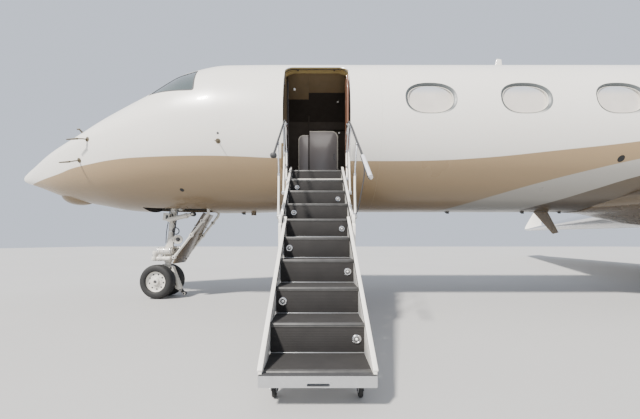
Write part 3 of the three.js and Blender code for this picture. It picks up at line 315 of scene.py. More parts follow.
def carpet():
    """Stair carpet with fine ribs along the treads."""
    g = Graph("stair_carpet")
    x, y, z = g.xyz()
    ribs = g.ripple(g.math("ADD", y, z), 0.011)
    pile = g.noise(520.0, 2.0, 0.6)
    worn = g.noise(7.0, 4.0, 0.6)
    base = g.mix(g.patchy(worn), (0.017, 0.0155, 0.0150), (0.024, 0.0220, 0.0212))
    rib = g.between(ribs, -1.0, 1.0, 0.0, 0.10)
    color = g.mix(rib, base, (0.05, 0.047, 0.046))
    height = g.math("ADD", g.math("MULTIPLY", ribs, 0.5), pile)
    return g.done(color, g.patchy(pile, 0.82, 0.98), 0.0, g.bump(height, 0.0010, 0.5))


def leather():
    g = Graph("seat_leather")
    cells = g.node("ShaderNodeTexVoronoi")
    cells.inputs["Scale"].default_value = 260.0
    g.link(g.coord, cells.inputs["Vector"])
    tint = g.patchy(g.noise(6.0, 4.0))
    color = g.mix(tint, (0.20, 0.165, 0.135), (0.25, 0.21, 0.175))
    return g.done(color, g.patchy(g.noise(14.0), 0.42, 0.55), 0.0,
                  g.bump(cells.outputs["Distance"], 0.0006, 0.4))


def cockpit_glass():
    g = Graph("tinted_glass")
    tint = g.patchy(g.noise(2.0, 3.0))
    color = g.mix(tint, (0.065, 0.085, 0.085), (0.095, 0.12, 0.118))
    return g.done(color, g.patchy(g.noise(5.0), 0.03, 0.06), 0.0, None, coat=1.0, coat_rough=0.02,
                  Alpha=0.86)


def shaded_window_ring():
    """Reveal of the cabin windows: painted shade, grey above, and painted light where it fades into the
    white skin below.
    """
    g = Graph("shaded_window_ring")
    x, y, z = g.xyz()
    color = g.mix(g.between(z, 2.67, 2.80, smooth=True), (0.74, 0.72, 0.67), (0.115, 0.128, 0.130))
    return g.done(color, g.patchy(g.noise(30.0), 0.36, 0.44), 0.0)


def shade_panel():
    """Pleated shade behind a glossy pane: paler below, with a painted reflection of the sky as a bluish band
    along the top.
    """
    g = Graph("window_shade")
    x, y, z = g.xyz()
    # painted reflection of the sky along the top of the pane
    sky_reflection = g.between(z, 2.99, 3.13, smooth=True)
    cloud = g.patchy(g.noise(5.0, 3.0))
    base = g.mix(cloud, (0.60, 0.555, 0.50), (0.67, 0.62, 0.565))
    color = g.mix(g.math("MULTIPLY", sky_reflection, 0.75), base, (0.36, 0.42, 0.50))
    pleats = g.ripple(z, 0.02)
    return g.done(color, g.between(cloud, 0.0, 1.0, 0.45, 0.55), 0.0, g.bump(pleats, 0.0006, 0.25),
                  coat=1.0, coat_rough=0.03)


def tread_plate():
    g = Graph("ribbed_metal")
    x, y, z = g.xyz()
    ribs = g.ripple(y, 0.006)
    tint = g.patchy(g.noise(16.0, 4.0))
    return g.done(g.mix(tint, (0.085, 0.083, 0.080), (0.12, 0.117, 0.113)),
                  g.patchy(g.noise(40.0), 0.42, 0.55), 0.4, g.bump(ribs, 0.0008, 0.4))


def compressor():
    """Titanium seen in the depth of the intake."""
    g = Graph("fan_titanium")
    tint = g.patchy(g.noise(5.0, 4.0))
    fine = g.noise(60.0, 3.0, 0.6, (1.0, 6.0, 6.0))
    return g.done(g.mix(tint, (0.22, 0.225, 0.24), (0.32, 0.325, 0.34)), g.patchy(fine, 0.24, 0.4),
                  0.95, g.bump(fine, 0.0002, 0.2))


WOOD = wood()
RED_WOOD = red_wood()
CARPET = carpet()
LEATHER = leather()
GLASS = cockpit_glass()
SHADE = shade_panel()
SHADED_WINDOW_RING = shaded_window_ring()
TREAD = tread_plate()
TITANIUM = compressor()
LAMP = plain("lamp_lens", (0.86, 0.86, 0.84), 0.15, 0.3, coat=1.0, scale=60.0)
RED_LAMP = plain("red_lens", (0.45, 0.02, 0.015), 0.12, coat=1.0, scale=60.0)
GREEN_LAMP = plain("green_lens", (0.02, 0.30, 0.08), 0.12, coat=1.0, scale=60.0)
FLOOR_CARPET = plain("cabin_carpet", (0.12, 0.105, 0.095), 0.92, spread=0.25, scale=30.0, depth=0.002,
                     strength=0.5)
EXHAUST = plain("heated_metal", (0.36, 0.33, 0.30), 0.38, 0.95, spread=0.25, scale=4.0)


# Geometry, as (points in millimetres, faces)


def loft(rings, caps=True):
    rings = [np.asarray(r, float) for r in rings]
    n = len(rings[0])
    faces = []
    for r in range(len(rings) - 1):
        for i in range(n):
            a, b = r * n + i, r * n + (i + 1) % n
            faces.append((a, b, b + n, a + n))
    if caps:
        faces.append(tuple(range(n))[::-1])
        faces.append(tuple((len(rings) - 1) * n + i for i in range(n)))
    return np.vstack(rings), faces


def frame_of(axis):
    axis = Vector(axis).normalized()
    other = Vector((0, 0, 1)) if abs(axis.z) < 0.9 else Vector((1, 0, 0))
    side = axis.cross(other).normalized()
    return axis, side, axis.cross(side).normalized()


def circle(centre, size, side, up, segments, flatten=1.0):
    angles = np.arange(segments) / segments * 2 * math.pi
    return centre + size * (np.outer(np.cos(angles), side) + flatten * np.outer(np.sin(angles), up))


def lathe(profile, start, axis, segments=32, closed=False):
    """Profile of [radius, distance along the axis], spun about the axis through start."""
    axis, side, up = (np.array(v) for v in frame_of(axis))
    start = np.array(start, float)
    rings = [circle(start + axis * reach, max(radius, 0.02), side, up, segments)
             for radius, reach in profile]
    points, faces = loft(rings, caps=not closed)
    if closed:
        n, last = segments, (len(profile) - 1) * segments
        faces += [(last + i, last + (i + 1) % n, (i + 1) % n, i) for i in range(n)]
    return points, faces


def rod(a, b, radius, end=None, segments=20, soft=0.18):
    """Round rod with softened ends."""
    end = radius if end is None else end
    a, b = np.array(a, float), np.array(b, float)
    length = np.linalg.norm(b - a)
    k, m = radius * soft, end * soft
    profile = [(radius - k, 0), (radius, k), (end, length - m), (end - m, length)]
    return lathe(profile, a, b - a, segments)


def tube_path(points, steps=12):
    """Catmull-Rom curve through the points."""
    p = [np.array(q, float) for q in points]
    p = [2 * p[0] - p[1]] + p + [2 * p[-1] - p[-2]]
    out = []
    for i in range(1, len(p) - 2):
        for k in range(steps):
            t = k / steps
            out.append(0.5 * ((2 * p[i]) + (-p[i - 1] + p[i + 1]) * t
                              + (2 * p[i - 1] - 5 * p[i] + 4 * p[i + 1] - p[i + 2]) * t * t
                              + (-p[i - 1] + 3 * p[i] - 3 * p[i + 1] + p[i + 2]) * t ** 3))
    out.append(p[-2])
    return out


# Rounding of a pipe's ends: shares of its radius, and how far in each lies
END_ROUND = ((0.5, 0.0), (0.86, 0.18))


def pipe(path, radius, segments=16, flatten=1.0):
    """Tube along a path, with rounded ends."""
    path = [np.array(p, float) for p in path]
    rings, side = [], None
    for i, p in enumerate(path):
        ahead = path[min(i + 1, len(path) - 1)] - path[max(i - 1, 0)]
        ahead = ahead / np.linalg.norm(ahead)
        if side is None:
            side = np.array(frame_of(ahead)[1])
        side = side - ahead * side.dot(ahead)
        side /= np.linalg.norm(side)
        round_ = (side, np.cross(ahead, side), segments, flatten)
        for grow, back in (END_ROUND if i == 0 else ()):
            rings.append(circle(p + ahead * radius * back, radius * grow, *round_))
        shift = 0.5 * radius if i == 0 else (-0.5 * radius if i == len(path) - 1 else 0.0)
        rings.append(circle(p + ahead * shift, radius, *round_))
        for grow, back in (END_ROUND[::-1] if i == len(path) - 1 else ()):
            rings.append(circle(p - ahead * radius * back, radius * grow, *round_))
    return loft(rings)


def slab(outline, axis, low, high):
    """Flat outline pushed along one axis: 'y' reads [x, z], 'x' reads [y, z], 'z' reads [x, y]."""
    order = {"y": (0, 2, 1), "x": (1, 2, 0), "z": (0, 1, 2)}[axis]
    rings = []
    for level in (low, high):
        ring = np.zeros((len(outline), 3))
        for k, (a, b) in enumerate(outline):
            ring[k, order[0]], ring[k, order[1]], ring[k, order[2]] = a, b, level
        rings.append(ring)
    return loft(rings)


def box(low, high):
    (a, b, c), (d, e, f) = low, high
    return slab([(a, b), (d, b), (d, e), (a, e)], "z", c, f)


def side_box(side, s0, s1, near, far, z0, z1):
    """Box between two distances from the middle plane, on one side of it."""
    y0, y1 = sorted((side * near, side * far))
    return box((s0, y0, z0), (s1, y1, z1))


def rounded(cx, cz, width, height, radius, steps=8):
    points = []
    for sx, sz, start in ((1, -1, -90), (1, 1, 0), (-1, 1, 90), (-1, -1, 180)):
        for k in range(steps + 1):
            angle = math.radians(start + 90 * k / steps)
            points.append((cx + sx * (width / 2 - radius) + radius * math.cos(angle),
                           cz + sz * (height / 2 - radius) + radius * math.sin(angle)))
    return points


def moved(geo, offset):
    return np.asarray(geo[0], float) + np.array(offset, float), geo[1]


def make_mesh(name, parts):
    """parts: (geometry, material) pairs in one mesh; faces are turned outward."""
    mesh = bpy.data.meshes.new(name)
    points, faces, slots, mats = [], [], [], []
    for (p, f), mat in parts:
        base = sum(len(q) for q in points)
        points.append(metres(p))
        faces += [tuple(i + base for i in face) for face in f]
        if mat not in mats:
            mats.append(mat)
        slots += [mats.index(mat)] * len(f)
    mesh.from_pydata(np.vstack(points).tolist(), [], faces)
    for mat in mats:
        mesh.materials.append(mat)
    mesh.polygons.foreach_set("material_index", slots)
    work = bmesh.new()
    work.from_mesh(mesh)
    bmesh.ops.recalc_face_normals(work, faces=work.faces)
    work.to_mesh(mesh)
    work.free()
    mesh.validate()
    return mesh


def show(mesh, name):
    obj = bpy.data.objects.new(name, mesh)
    bpy.context.collection.objects.link(obj)
    return obj


def shown(name, parts):
    return show(make_mesh(name, parts), name)


class Parts(list):
    """Shapes with their materials, for one piece."""

    def add(self, mat, *shapes):
        self.extend((shape, mat) for shape in shapes)


def baked(obj):
    """Applies the object's modifiers to its mesh."""
    bpy.context.view_layer.update()
    graph = bpy.context.evaluated_depsgraph_get()
    mesh = bpy.data.meshes.new_from_object(obj.evaluated_get(graph), depsgraph=graph)
    old = obj.data
    obj.modifiers.clear()
    obj.data = mesh
    mesh.name = obj.name
    bpy.data.meshes.remove(old)


def smooth_by_angle(mesh, angle):
    mesh.polygons.foreach_set("use_smooth", [True] * len(mesh.polygons))
    mesh.set_sharp_from_angle(angle=math.radians(angle))


def carried(obj, body, nodes=()):
    """Lets the object ride on a body and stand for solids."""
    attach(obj, body)
    if nodes:
        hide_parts(*nodes)


def finish(obj, body, nodes=(), angle=40):
    smooth_by_angle(obj.data, angle)
    carried(obj, body, nodes)


def piece(name, parts, body="airframe", replaces=(), bevel=0.0, angle=35.0, segments=2):
    """A shown piece that rides on a body, with bevelled edges where bevel is set, in millimetres."""
    obj = shown(name, parts)
    if bevel:
        mod = obj.modifiers.new("bevel", "BEVEL")
        mod.width = bevel / 1000.0
        mod.segments = segments
        mod.limit_method = "ANGLE"
        mod.angle_limit = math.radians(40)
        mod.harden_normals = False
        baked(obj)
    finish(obj, body, replaces, angle)


def combine(obj, kind, shapes):
    """Runs one boolean operation with each of the closed shapes."""
    for geo in shapes:
        tool = shown("tool", [(geo, obj.data.materials[0])])
        mod = obj.modifiers.new("combine", "BOOLEAN")
        mod.operation = kind
        mod.solver = "EXACT"
        mod.object = tool
        baked(obj)
        mesh = tool.data
        bpy.data.objects.remove(tool)
        bpy.data.meshes.remove(mesh)


def booleans(obj, cutters, keep=()):
    """Cuts the cutters out of obj, then keeps only what lies in the keep solids."""
    combine(obj, "DIFFERENCE", cutters)
    combine(obj, "INTERSECT", keep)


# Hull sections

HULL = [
    # station, top, bottom, widest height, half width
    (0, 2072, 2068, 2070, 1), (25, 2118, 2025, 2074, 42), (100, 2182, 1995, 2092, 88),
        (350, 2312, 1906, 2161, 219), (800, 2539, 1740, 2269, 457), (1400, 2785, 1612, 2396, 716),
        (2000, 3108, 1516, 2503, 914), (2600, 3418, 1488, 2589, 1056), (3200, 3779, 1484, 2652, 1146),
        (3800, 3890, 1486, 2691, 1188), (4600, 3895, 1505, 2700, 1195), (17000, 3895, 1505, 2700, 1195),
        (19000, 3895, 1600, 2740, 1140), (21000, 3890, 1840, 2860, 1000), (23000, 3870, 2270, 3060, 770),
        (25000, 3800, 2790, 3290, 480), (26400, 3700, 3180, 3440, 240), (26900, 3620, 3330, 3475, 140)]
TAIL_END = 26900
AROUND = 96
WALL = 90


def slopes(x, y):
    """Slopes of a smooth curve through the points that never overshoots them."""
    h, d = np.diff(x), np.diff(y) / np.diff(x)
    m = np.zeros(len(x))
    m[0], m[-1] = d[0], d[-1]
    for i in range(1, len(x) - 1):
        if d[i - 1] * d[i] > 0:
            w1, w2 = 2 * h[i] + h[i - 1], h[i] + 2 * h[i - 1]
            m[i] = (w1 + w2) / (w1 / d[i - 1] + w2 / d[i])
    return m


def span_of(xs, x):
    """Index of the span of xs that holds x, its length, and the share of it up to x."""
    i = min(max(int(np.searchsorted(xs, x, side="right")) - 1, 0), len(xs) - 2)
    h = xs[i + 1] - xs[i]
    return i, h, (x - xs[i]) / h


def bend(y, m, i, h, t):
    """Value at share t of span i, of length h, on the cubic with values y and slopes m."""
    return ((2 * t ** 3 - 3 * t * t + 1) * y[i] + (t ** 3 - 2 * t * t + t) * h * m[i]
            + (3 * t * t - 2 * t ** 3) * y[i + 1] + (t ** 3 - t * t) * h * m[i + 1])


HULL_X = np.array([row[0] for row in HULL], float)
HULL_Y = [np.array([row[k] for row in HULL], float) for k in range(1, 5)]
HULL_M = [slopes(HULL_X, y) for y in HULL_Y]


def hull_at(station):
    """(top, bottom, widest height, half width) of the skin at a station."""
    at = span_of(HULL_X, min(max(station, 0.0), float(TAIL_END)))
    return [bend(y, m, *at) for y, m in zip(HULL_Y, HULL_M)]


def hull_ring(station, inset=0.0, count=AROUND):
    top, bottom, widest, half = hull_at(station)
    ring = []
    for i in range(count):
        angle = i / count * 2 * math.pi
        rise = (top - widest if math.cos(angle) > 0 else widest - bottom) - inset
        ring.append((station, max(half - inset, 0.3) * math.sin(angle),
                     widest + max(rise, 0.3) * math.cos(angle)))
    return ring


def hull_stations(low, high):
    marks = [0, 6, 14, 25, 45, 70, 100, 150, 210, 280, 350]
    marks += list(range(430, 4700, 70)) + [5400, 6200, 7400, 8800, 10200, 11600, 13000, 14400, 15800, 17000]
    marks += list(range(17200, 26900, 220)) + [26900]
    return [low] + [s for s in marks if low + 8 < s < high - 8] + [high]


def hull_loft(low, high, inset=0.0, count=AROUND):
    return loft([hull_ring(s, inset, count) for s in hull_stations(low, high)])


def skin_y(station, z, inset=0.0):
    """Distance of the skin from the middle plane at a station and height."""
    top, bottom, widest, half = hull_at(station)
    rise = (top - widest if z > widest else widest - bottom) - inset
    return (half - inset) * math.sqrt(max(0.0, 1 - ((z - widest) / rise) ** 2))


def skin_z(station, y, upper=True, inset=0.0):
    top, bottom, widest, half = hull_at(station)
    rise = (top - widest if upper else widest - bottom) - inset
    reach = rise * math.sqrt(max(0.0, 1 - (y / (half - inset)) ** 2))
    return widest + reach if upper else widest - reach


def skin_normal(x, y, z):
    """Outward normal of the skin nearest to a point, given as station, y, z."""
    def level(s, yy, zz):
        top, bottom, widest, half = hull_at(s)
        rise = top - widest if zz > widest else widest - bottom
        return math.hypot(yy / half, (zz - widest) / rise)
    step = 2.0
    grad = Vector(((level(x + step, y, z) - level(x - step, y, z)) / (2 * step),
                   (level(x, y + 1, z) - level(x, y - 1, z)) / 2,
                   (level(x, y, z + 1) - level(x, y, z - 1)) / 2))
    return grad.normalized() if grad.length > 0 else Vector((-1, 0, 0))


def on_skin(station, z, side=-1, out=0.0):
    """Point on the skin, pushed out along its normal."""
    p = Vector((station, side * skin_y(station, z), z))
    return tuple(p + skin_normal(*p) * out)


def smooth_skin(obj, near=0.94):
    """Shades the hull's outer and inner faces by the hull's own curvature, and rims flat."""
    mesh = obj.data
    mesh.polygons.foreach_set("use_smooth", [True] * len(mesh.polygons))
    known = {}
    normals = [None] * len(mesh.loops)
    for poly in mesh.polygons:
        c = poly.center
        mid = skin_normal(c.x * 1000 + LENGTH / 2, c.y * 1000, c.z * 1000)
        facing = mid.dot(poly.normal)
        for loop in poly.loop_indices:
            if abs(facing) < near:
                normals[loop] = poly.normal.copy()
                continue
            v = mesh.loops[loop].vertex_index
            if v not in known:
                co = mesh.vertices[v].co
                known[v] = skin_normal(co.x * 1000 + LENGTH / 2, co.y * 1000, co.z * 1000)
            normals[loop] = known[v] if facing > 0 else -known[v]
    mesh.normals_split_custom_set([tuple(n) for n in normals])


DOOR = {"station": 5160, "width": 920, "low": 1900, "high": 3550, "corner": 130}
WINDOW = {"first": 6722, "pitch": 1300, "count": 7, "height": 2935, "width": 708, "tall": 494}
SIDE_PANE = [(2665, 3120), (3455, 3075), (3385, 3555), (3060, 3440)]
FRONT_PANE = [(2150, 45), (2560, 760), (2950, 560), (2860, 45)]
BAY = {"low": 2260, "high": 3380, "half": 300, "roof": 2090}
HATCH = {"station": 16900, "width": 800, "low": 2250, "high": 2900, "corner": 60}
window_stations = [WINDOW["first"] + i * WINDOW["pitch"] for i in range(WINDOW["count"])]


def oval(station, inset, sides=56, power=0.86):
    out = []
    for i in range(sides):
        a = i / sides * 2 * math.pi
        c, s = math.cos(a), math.sin(a)
        out.append((station + math.copysign(abs(c) ** power, c) * (WINDOW["width"] / 2 - inset),
                    WINDOW["height"] + math.copysign(abs(s) ** power, s) * (WINDOW["tall"] / 2 - inset)))
    return out


def inset_outline(outline, amount):
    """Straight-sided convex outline moved in by an amount."""
    n = len(outline)
    p = [Vector(q) for q in outline]
    area = sum(p[i].x * p[(i + 1) % n].y - p[(i + 1) % n].x * p[i].y for i in range(n))
    turn = 1 if area > 0 else -1
    lines = []
    for i in range(n):
        d = (p[(i + 1) % n] - p[i]).normalized()
        inward = Vector((-d.y, d.x)) * turn
        lines.append((p[i] + inward * amount, d))
    out = []
    for i in range(n):
        (a, d), (b, e) = lines[i - 1], lines[i]
        cross = d.x * e.y - d.y * e.x
        t = ((b - a).x * e.y - (b - a).y * e.x) / cross
        out.append(tuple(a + d * t))
    return out


def soft_corners(outline, radius, steps=5):
    """Outline with its corners rounded."""
    n = len(outline)
    out = []
    for i in range(n):
        a, b, c = (Vector(outline[k % n]) for k in (i - 1, i, i + 1))
        u, v = (a - b).normalized(), (c - b).normalized()
        back = min(radius, (a - b).length * 0.45, (c - b).length * 0.45)
        p, q = b + u * back, b + v * back
        for k in range(steps + 1):
            t = k / steps
            out.append(tuple(p * (1 - t) ** 2 + b * 2 * t * (1 - t) + q * t * t))
    return out


def paint_faces(obj, mat, test):
    """Gives another material to the faces whose middle passes the test, in millimetres."""
    mesh = obj.data
    mesh.materials.append(mat)
    index = len(mesh.materials) - 1
    for poly in mesh.polygons:
        c = poly.center
        if test(c.x * 1000 + LENGTH / 2, c.y * 1000, c.z * 1000):
            poly.material_index = index


def within_skin(s, y, z, depth=50):
    """True for a point more than the depth inside the skin."""
    top, bottom, widest, half = hull_at(s)
    return bottom + depth < z < top - depth and abs(y) < skin_y(s, z, depth)


def hull_panel(name, low, high, mat, node, cutters=(), inner=None, wall=WALL, extra=(),
               inside=LINING):
    """One panel of the hull as a real shell, with its openings cut through."""
    obj = shown(name, [(hull_loft(low, high), mat)])
    inner_low, inner_high = inner or (low - 60, high + 60)
    combine(obj, "UNION", extra)
    booleans(obj, [hull_loft(inner_low, inner_high, wall, 64)] + list(cutters))
    smooth_skin(obj)
    paint_faces(obj, inside, within_skin)
    carried(obj, "airframe", [node])


def side_cut(outline, side):
    return slab(outline, "y", *((300, 1500) if side > 0 else (-1500, -300)))


def opening(spec, steps=8):
    """Outline of a doorway or hatch with round corners, as [station, z]."""
    return rounded(spec["station"], (spec["low"] + spec["high"]) / 2, spec["width"],
                   spec["high"] - spec["low"], spec["corner"], steps)


JOINT_GAP = 0.3
# Stations of the joints between the hull panels
RADOME_END, CABIN_START, CABIN_END, TAIL_START = 1150, 6050, 16000, 21500
CHIN = {"station": 985, "height": 1790, "along": 300, "across": 190, "deep": 168}
door_cut = side_cut(opening(DOOR), -1)
bay_cut = box((BAY["low"], -BAY["half"], 1300), (BAY["high"], BAY["half"], BAY["roof"]))
pane_cuts = []
for side in (-1, 1):
    pane_cuts.append(side_cut(soft_corners(SIDE_PANE, 60), side))
    front = soft_corners([(s, side * y) for s, y in FRONT_PANE], 60)
    pane_cuts.append(slab(front, "z", 2800, 4000))

# bulge under the nose, part of the radome
deep = CHIN["deep"]
turns = [math.pi * k / 16 for k in range(17)]
chin_points, chin_faces = lathe([(deep * math.sin(t), -deep * math.cos(t)) for t in turns], (0, 0, 0), UP,
                                40)
chin = np.asarray(chin_points) * (CHIN["along"] / deep, CHIN["across"] / deep, 1.0)
chin = chin + (CHIN["station"], 0, CHIN["height"])
chin[:, 0] = np.minimum(chin[:, 0], RADOME_END - JOINT_GAP)
hull_panel("radome_skin", 0, RADOME_END - JOINT_GAP, HULL_PAINT, "radome",
           inner=(500, RADOME_END + 60), wall=30,
           extra=[(chin, chin_faces)])
# the forward skin's inside in near black: painted shade
hull_panel("forward_skin", RADOME_END + JOINT_GAP, CABIN_START - JOINT_GAP, HULL_PAINT, "forward_fuselage",
           [door_cut, bay_cut] + pane_cuts, inner=(1250, CABIN_START + 60), inside=SHADED_INTERIOR)

cabin_cuts = [side_cut(oval(s, 0), side) for s in window_stations for side in (-1, 1)]
hull_panel("cabin_skin", CABIN_START + JOINT_GAP, CABIN_END - JOINT_GAP, HULL_PAINT,
           "cabin_fuselage", cabin_cuts)
hull_panel("aft_skin", CABIN_END + JOINT_GAP, TAIL_START - JOINT_GAP, HULL_PAINT, "aft_fuselage",
           [side_cut(opening(HATCH), -1)])
hull_panel("tail_skin", TAIL_START + JOINT_GAP, TAIL_END, HULL_PAINT, "tail_cone",
           inner=(TAIL_START - 60, 25000))

# baggage door: a piece of the same skin, with a wider gap above it than round its other edges
EDGE_GAP, TOP_GAP = 8, 20
hatch = shown("baggage_hatch", [(hull_loft(16300, 17500), HULL_PAINT)])
hatch_door = {**HATCH, "low": HATCH["low"] + EDGE_GAP, "high": HATCH["high"] - TOP_GAP,
              "width": HATCH["width"] - 2 * EDGE_GAP, "corner": HATCH["corner"] - 7}
booleans(hatch, [hull_loft(16200, 17600, 60, 64)], [side_cut(opening(hatch_door), -1)])
smooth_skin(hatch)
carried(hatch, "baggage_hatch", ["baggage_door"])


# Airstair

DS = DOOR["station"]
HALF_LOW, HALF_HIGH = 316, 353
FOLD = (-2150.0, 1184.9)
PLATE = 22
LAMP_INSET = 262
SIDE_PLATE = 380
# Run and rise of a step, and [y, z] of the first nosing
RUN, RISE = 271, 197
NOSE_Y, NOSE_Z = -3410, 223


def nose(k):
    return NOSE_Y + RUN * k, NOSE_Z + RISE * k


def nose_z(y):
    return NOSE_Z + RISE * (y - NOSE_Y) / RUN


def by_nose(y, rise):
    """Point at y, a rise above the line of the nosings."""
    return y, nose_z(y) + rise


def across(outline, half):
    return slab(outline, "x", DS - half, DS + half)


def beside(outline, inner, outer):
    return [slab(outline, "x", DS + inner, DS + outer), slab(outline, "x", DS - outer, DS - inner)]


def folded_plate(first, last, drop, trim, half):
    y0, z0 = nose(first)
    top = [(y0, z0 - drop), (y0, z0)]
    for k in range(first + 1, last + 1):
        y, z = nose(k)
        top += [(y, z - RISE), (y, z)]
    y, z = nose(last + 1)
    top.append((y - trim, z - RISE))
    under = [(a + PLATE, b - PLATE) for a, b in top][::-1]
    under[0] = (y - trim, z - RISE - PLATE)
    under[-1] = (y0 + PLATE, z0 - drop)
    return across(top + under, half)


def step_trim(k, half, tread_end):
    """Carpet, nosing and foot strip of one step, as (geometry, material) pairs."""
    y, z = nose(k)
    h = half - 3
    out = Parts([(across([(y + 24, z), (tread_end, z), (tread_end, z + 4), (y + 24, z + 4)], h), CARPET)])
    strip = [(y - 7, z - 20), (y - 7, z - 2), (y - 4, z + 3), (y + 1, z + 5.5),
             (y + 25, z + 5.5), (y + 25, z - 1), (y, z - 1), (y, z - 20)]
    out.add(TREAD, across(strip, h))
    out.add(SEAL,
            across([(y - 8.4, z - 9), (y - 6, z - 9), (y - 6, z - 4), (y - 8.4, z - 4)], h),
            across([(y + 11, z + 4.8), (y + 17, z + 4.8), (y + 17, z + 6.4), (y + 11, z + 6.4)], h))
    return out


def riser_trim(k, half, foot=4.0):
    """Carpet on the riser under nosing k, and the pale strip along its foot."""
    y, z = nose(k)
    low = z - RISE + foot
    h = half - 3
    return [(across([(y - 4, low), (y, low), (y, z - 20), (y - 4, z - 20)], h), CARPET),
            (across([(y - 7, low), (y - 3, low), (y - 3, low + 7), (y - 7, low + 5)], h), ALLOY)]


def riser_lamps(steps):
    """Step lights, aft on odd risers and forward on even ones: a ring, a reflector and a small dome."""
    out = []
    for k in steps:
        y, z = nose(k)
        centre = (DS + (LAMP_INSET if k % 2 else -LAMP_INSET), y - 4, z - 100)
        ring = lathe([(31, -1), (31, 4), (27, 8), (21, 8), (18, 5), (18, -1)], centre, (0, -1, 0), 28)
        dish = lathe([(18, 0), (18, 4), (8, 2.5), (0, 2)], centre, (0, -1, 0), 28)
        dome = lathe([(11, 1), (10.4, 7), (7.5, 11), (3.4, 13.4), (0, 14)], centre, (0, -1, 0), 24)
        out += [(ring, STEEL), (dish, SEAL), (dome, LAMP)]
    return out


def bolt(centre, axis, radius, height=5.0):
    return lathe([(radius * 1.5, -1), (radius * 1.5, 1.2), (radius, 1.2), (radius * 0.96, height * 0.8),
                  (radius * 0.7, height), (0, height)], centre, axis, 6 if radius > 7 else 12)


# lower flight
lower = Parts([(folded_plate(0, 4, 75, 8, HALF_LOW + 1), ALLOY)])
low_band = [(-3440, 150), (-3260, 150), by_nose(-2090, -160), by_nose(-2090, 45), by_nose(-3440, 45)]
for plate in beside(low_band, HALF_LOW, 336):
    lower.add(WHITE_PAINT, plate)
cheek = [(-3425, 236), by_nose(-2110, -30), by_nose(-2110, 34), by_nose(-3425, 34)]
for plate in beside(cheek, HALF_LOW - 3, HALF_LOW):
    lower.add(SEAL, plate)
cap = [by_nose(-3444, 42), by_nose(-2092, 42), by_nose(-2092, 52), by_nose(-3444, 52)]
for plate in beside(cap, HALF_LOW - 5, 341):
    lower.add(WHITE_PAINT, plate)
piece("stair_lower_frame", lower, "lower_stair_flight", ["airstair_lower"], 1.6)
trim = Parts()
for k in range(0, 5):
    trim += step_trim(k, HALF_LOW, nose(k + 1)[0] - (12 if k == 4 else 4))
    if k:
        trim += riser_trim(k, HALF_LOW)
piece("stair_lower_trim", trim, "lower_stair_flight", bevel=0.6)
piece("stair_lower_lamps", riser_lamps(range(1, 5)), "lower_stair_flight")

# skirt below the first step, with its hand slot and the dark seal above
skirt = shown("stair_skirt", [(slab(rounded(DS, 183, 672, 66, 6), "y", -3447, -3412), ALLOY)])
booleans(skirt, [slab(rounded(DS + 4, 166, 130, 17, 8), "y", -3500, -3425)])
finish(skirt, "lower_stair_flight", (), 30)
detail = Parts([(slab(rounded(DS + 4, 166, 124, 13, 6), "y", -3427, -3424), SEAL),
                (slab(rounded(DS, 218, 668, 9, 3), "y", -3446, -3404), SEAL),
                (slab(rounded(DS + 4, 178, 142, 5, 2.4), "y", -3449, -3445), STEEL)])
for x in range(-300, 301, 60):
    detail.add(STEEL, slab(rounded(DS + x, 211.5, 16, 5, 2), "y", -3448, -3446))
piece("stair_skirt_trim", detail, "lower_stair_flight")

castors = Parts()
for x in (-268, 268):
    c = (DS + x, -3260, 47.2)
    castors.add(RUBBER, lathe([(22, -13), (40, -13), (46, -9), (47.1, -3), (47.1, 3), (46, 9), (40, 13),
                               (22, 13)], c, AFT, 28))
    castors.add(ALLOY, lathe([(6, -17), (21, -14), (22, -8), (22, 8), (21, 14), (6, 17)], c, AFT, 20))
    for side in (-1, 1):
        arm = [(-3272, 40), (-3248, 40), (-3232, 120), (-3232, 150), (-3262, 150), (-3266, 110)]
        castors.add(SEAL, slab(arm, "x", DS + x + side * 20 - 2.5, DS + x + side * 20 + 2.5))
    castors.add(SEAL, box((DS + x - 24, -3264, 120), (DS + x + 24, -3230, 128)))
    castors.add(STEEL,
                rod((DS + x, -3245, 126), (DS + x, -3240, 214), 13),
                rod((DS + x - 26, -3260, 47.2), (DS + x + 26, -3260, 47.2), 6))
piece("stair_castors", castors, "lower_stair_flight", bevel=0.8)

# upper flight
y_low = FOLD[0] - 95
y_high = nose(9)[0] + PLATE
up_band = [by_nose(y_low, -165), by_nose(y_high, -165), by_nose(y_high, 40), by_nose(y_high - 60, 62),
           by_nose(y_low, 62)]
upper = Parts([(folded_plate(5, 8, 189, 0, HALF_HIGH), ALLOY)])
y9, z9 = nose(9)
upper.add(ALLOY, across([(y9, z9 - RISE), (y9, z9), (y9 + PLATE, z9), (y9 + PLATE, z9 - RISE)], HALF_HIGH))
for plate in beside(up_band, 352, SIDE_PLATE):
    upper.add(WHITE_PAINT, plate)
for side in (-1, 1):
    ring = [(FOLD[0] + 66 * math.cos(a), FOLD[1] + 66 * math.sin(a))
            for a in np.linspace(0, 2 * math.pi, 33)[:-1]]
    upper.add(WHITE_PAINT, slab(ring, "x", DS + side * 366 - 14, DS + side * 366 + 14))
piece("stair_upper_frame", upper, "airframe", ["airstair_upper"], 1.6)
trim = Parts()
for k in range(5, 9):
    trim += step_trim(k, HALF_HIGH, nose(k + 1)[0] - 4)
    trim += riser_trim(k, HALF_HIGH, 12.0 if k == 5 else 4.0)
trim += riser_trim(9, HALF_HIGH)
strip = [(y9 - 7, z9 - 20), (y9 - 7, z9 - 2), (y9 - 4, z9 + 2), (y9 + 1, z9 + 4),
         (y9 + 21, z9 + 4), (y9 + 21, z9 - 1),
         (y9, z9 - 1), (y9, z9 - 20)]
trim.add(TREAD, across(strip, HALF_HIGH - 3))
cheek = [by_nose(y_low + 10, -20), by_nose(y_high - 30, -20), by_nose(y_high - 30, 30),
         by_nose(y_low + 10, 52)]
for plate in beside(cheek, HALF_HIGH - 4, HALF_HIGH - 1):
    trim.add(SEAL, plate)
piece("stair_upper_trim", trim, "airframe", bevel=0.6)
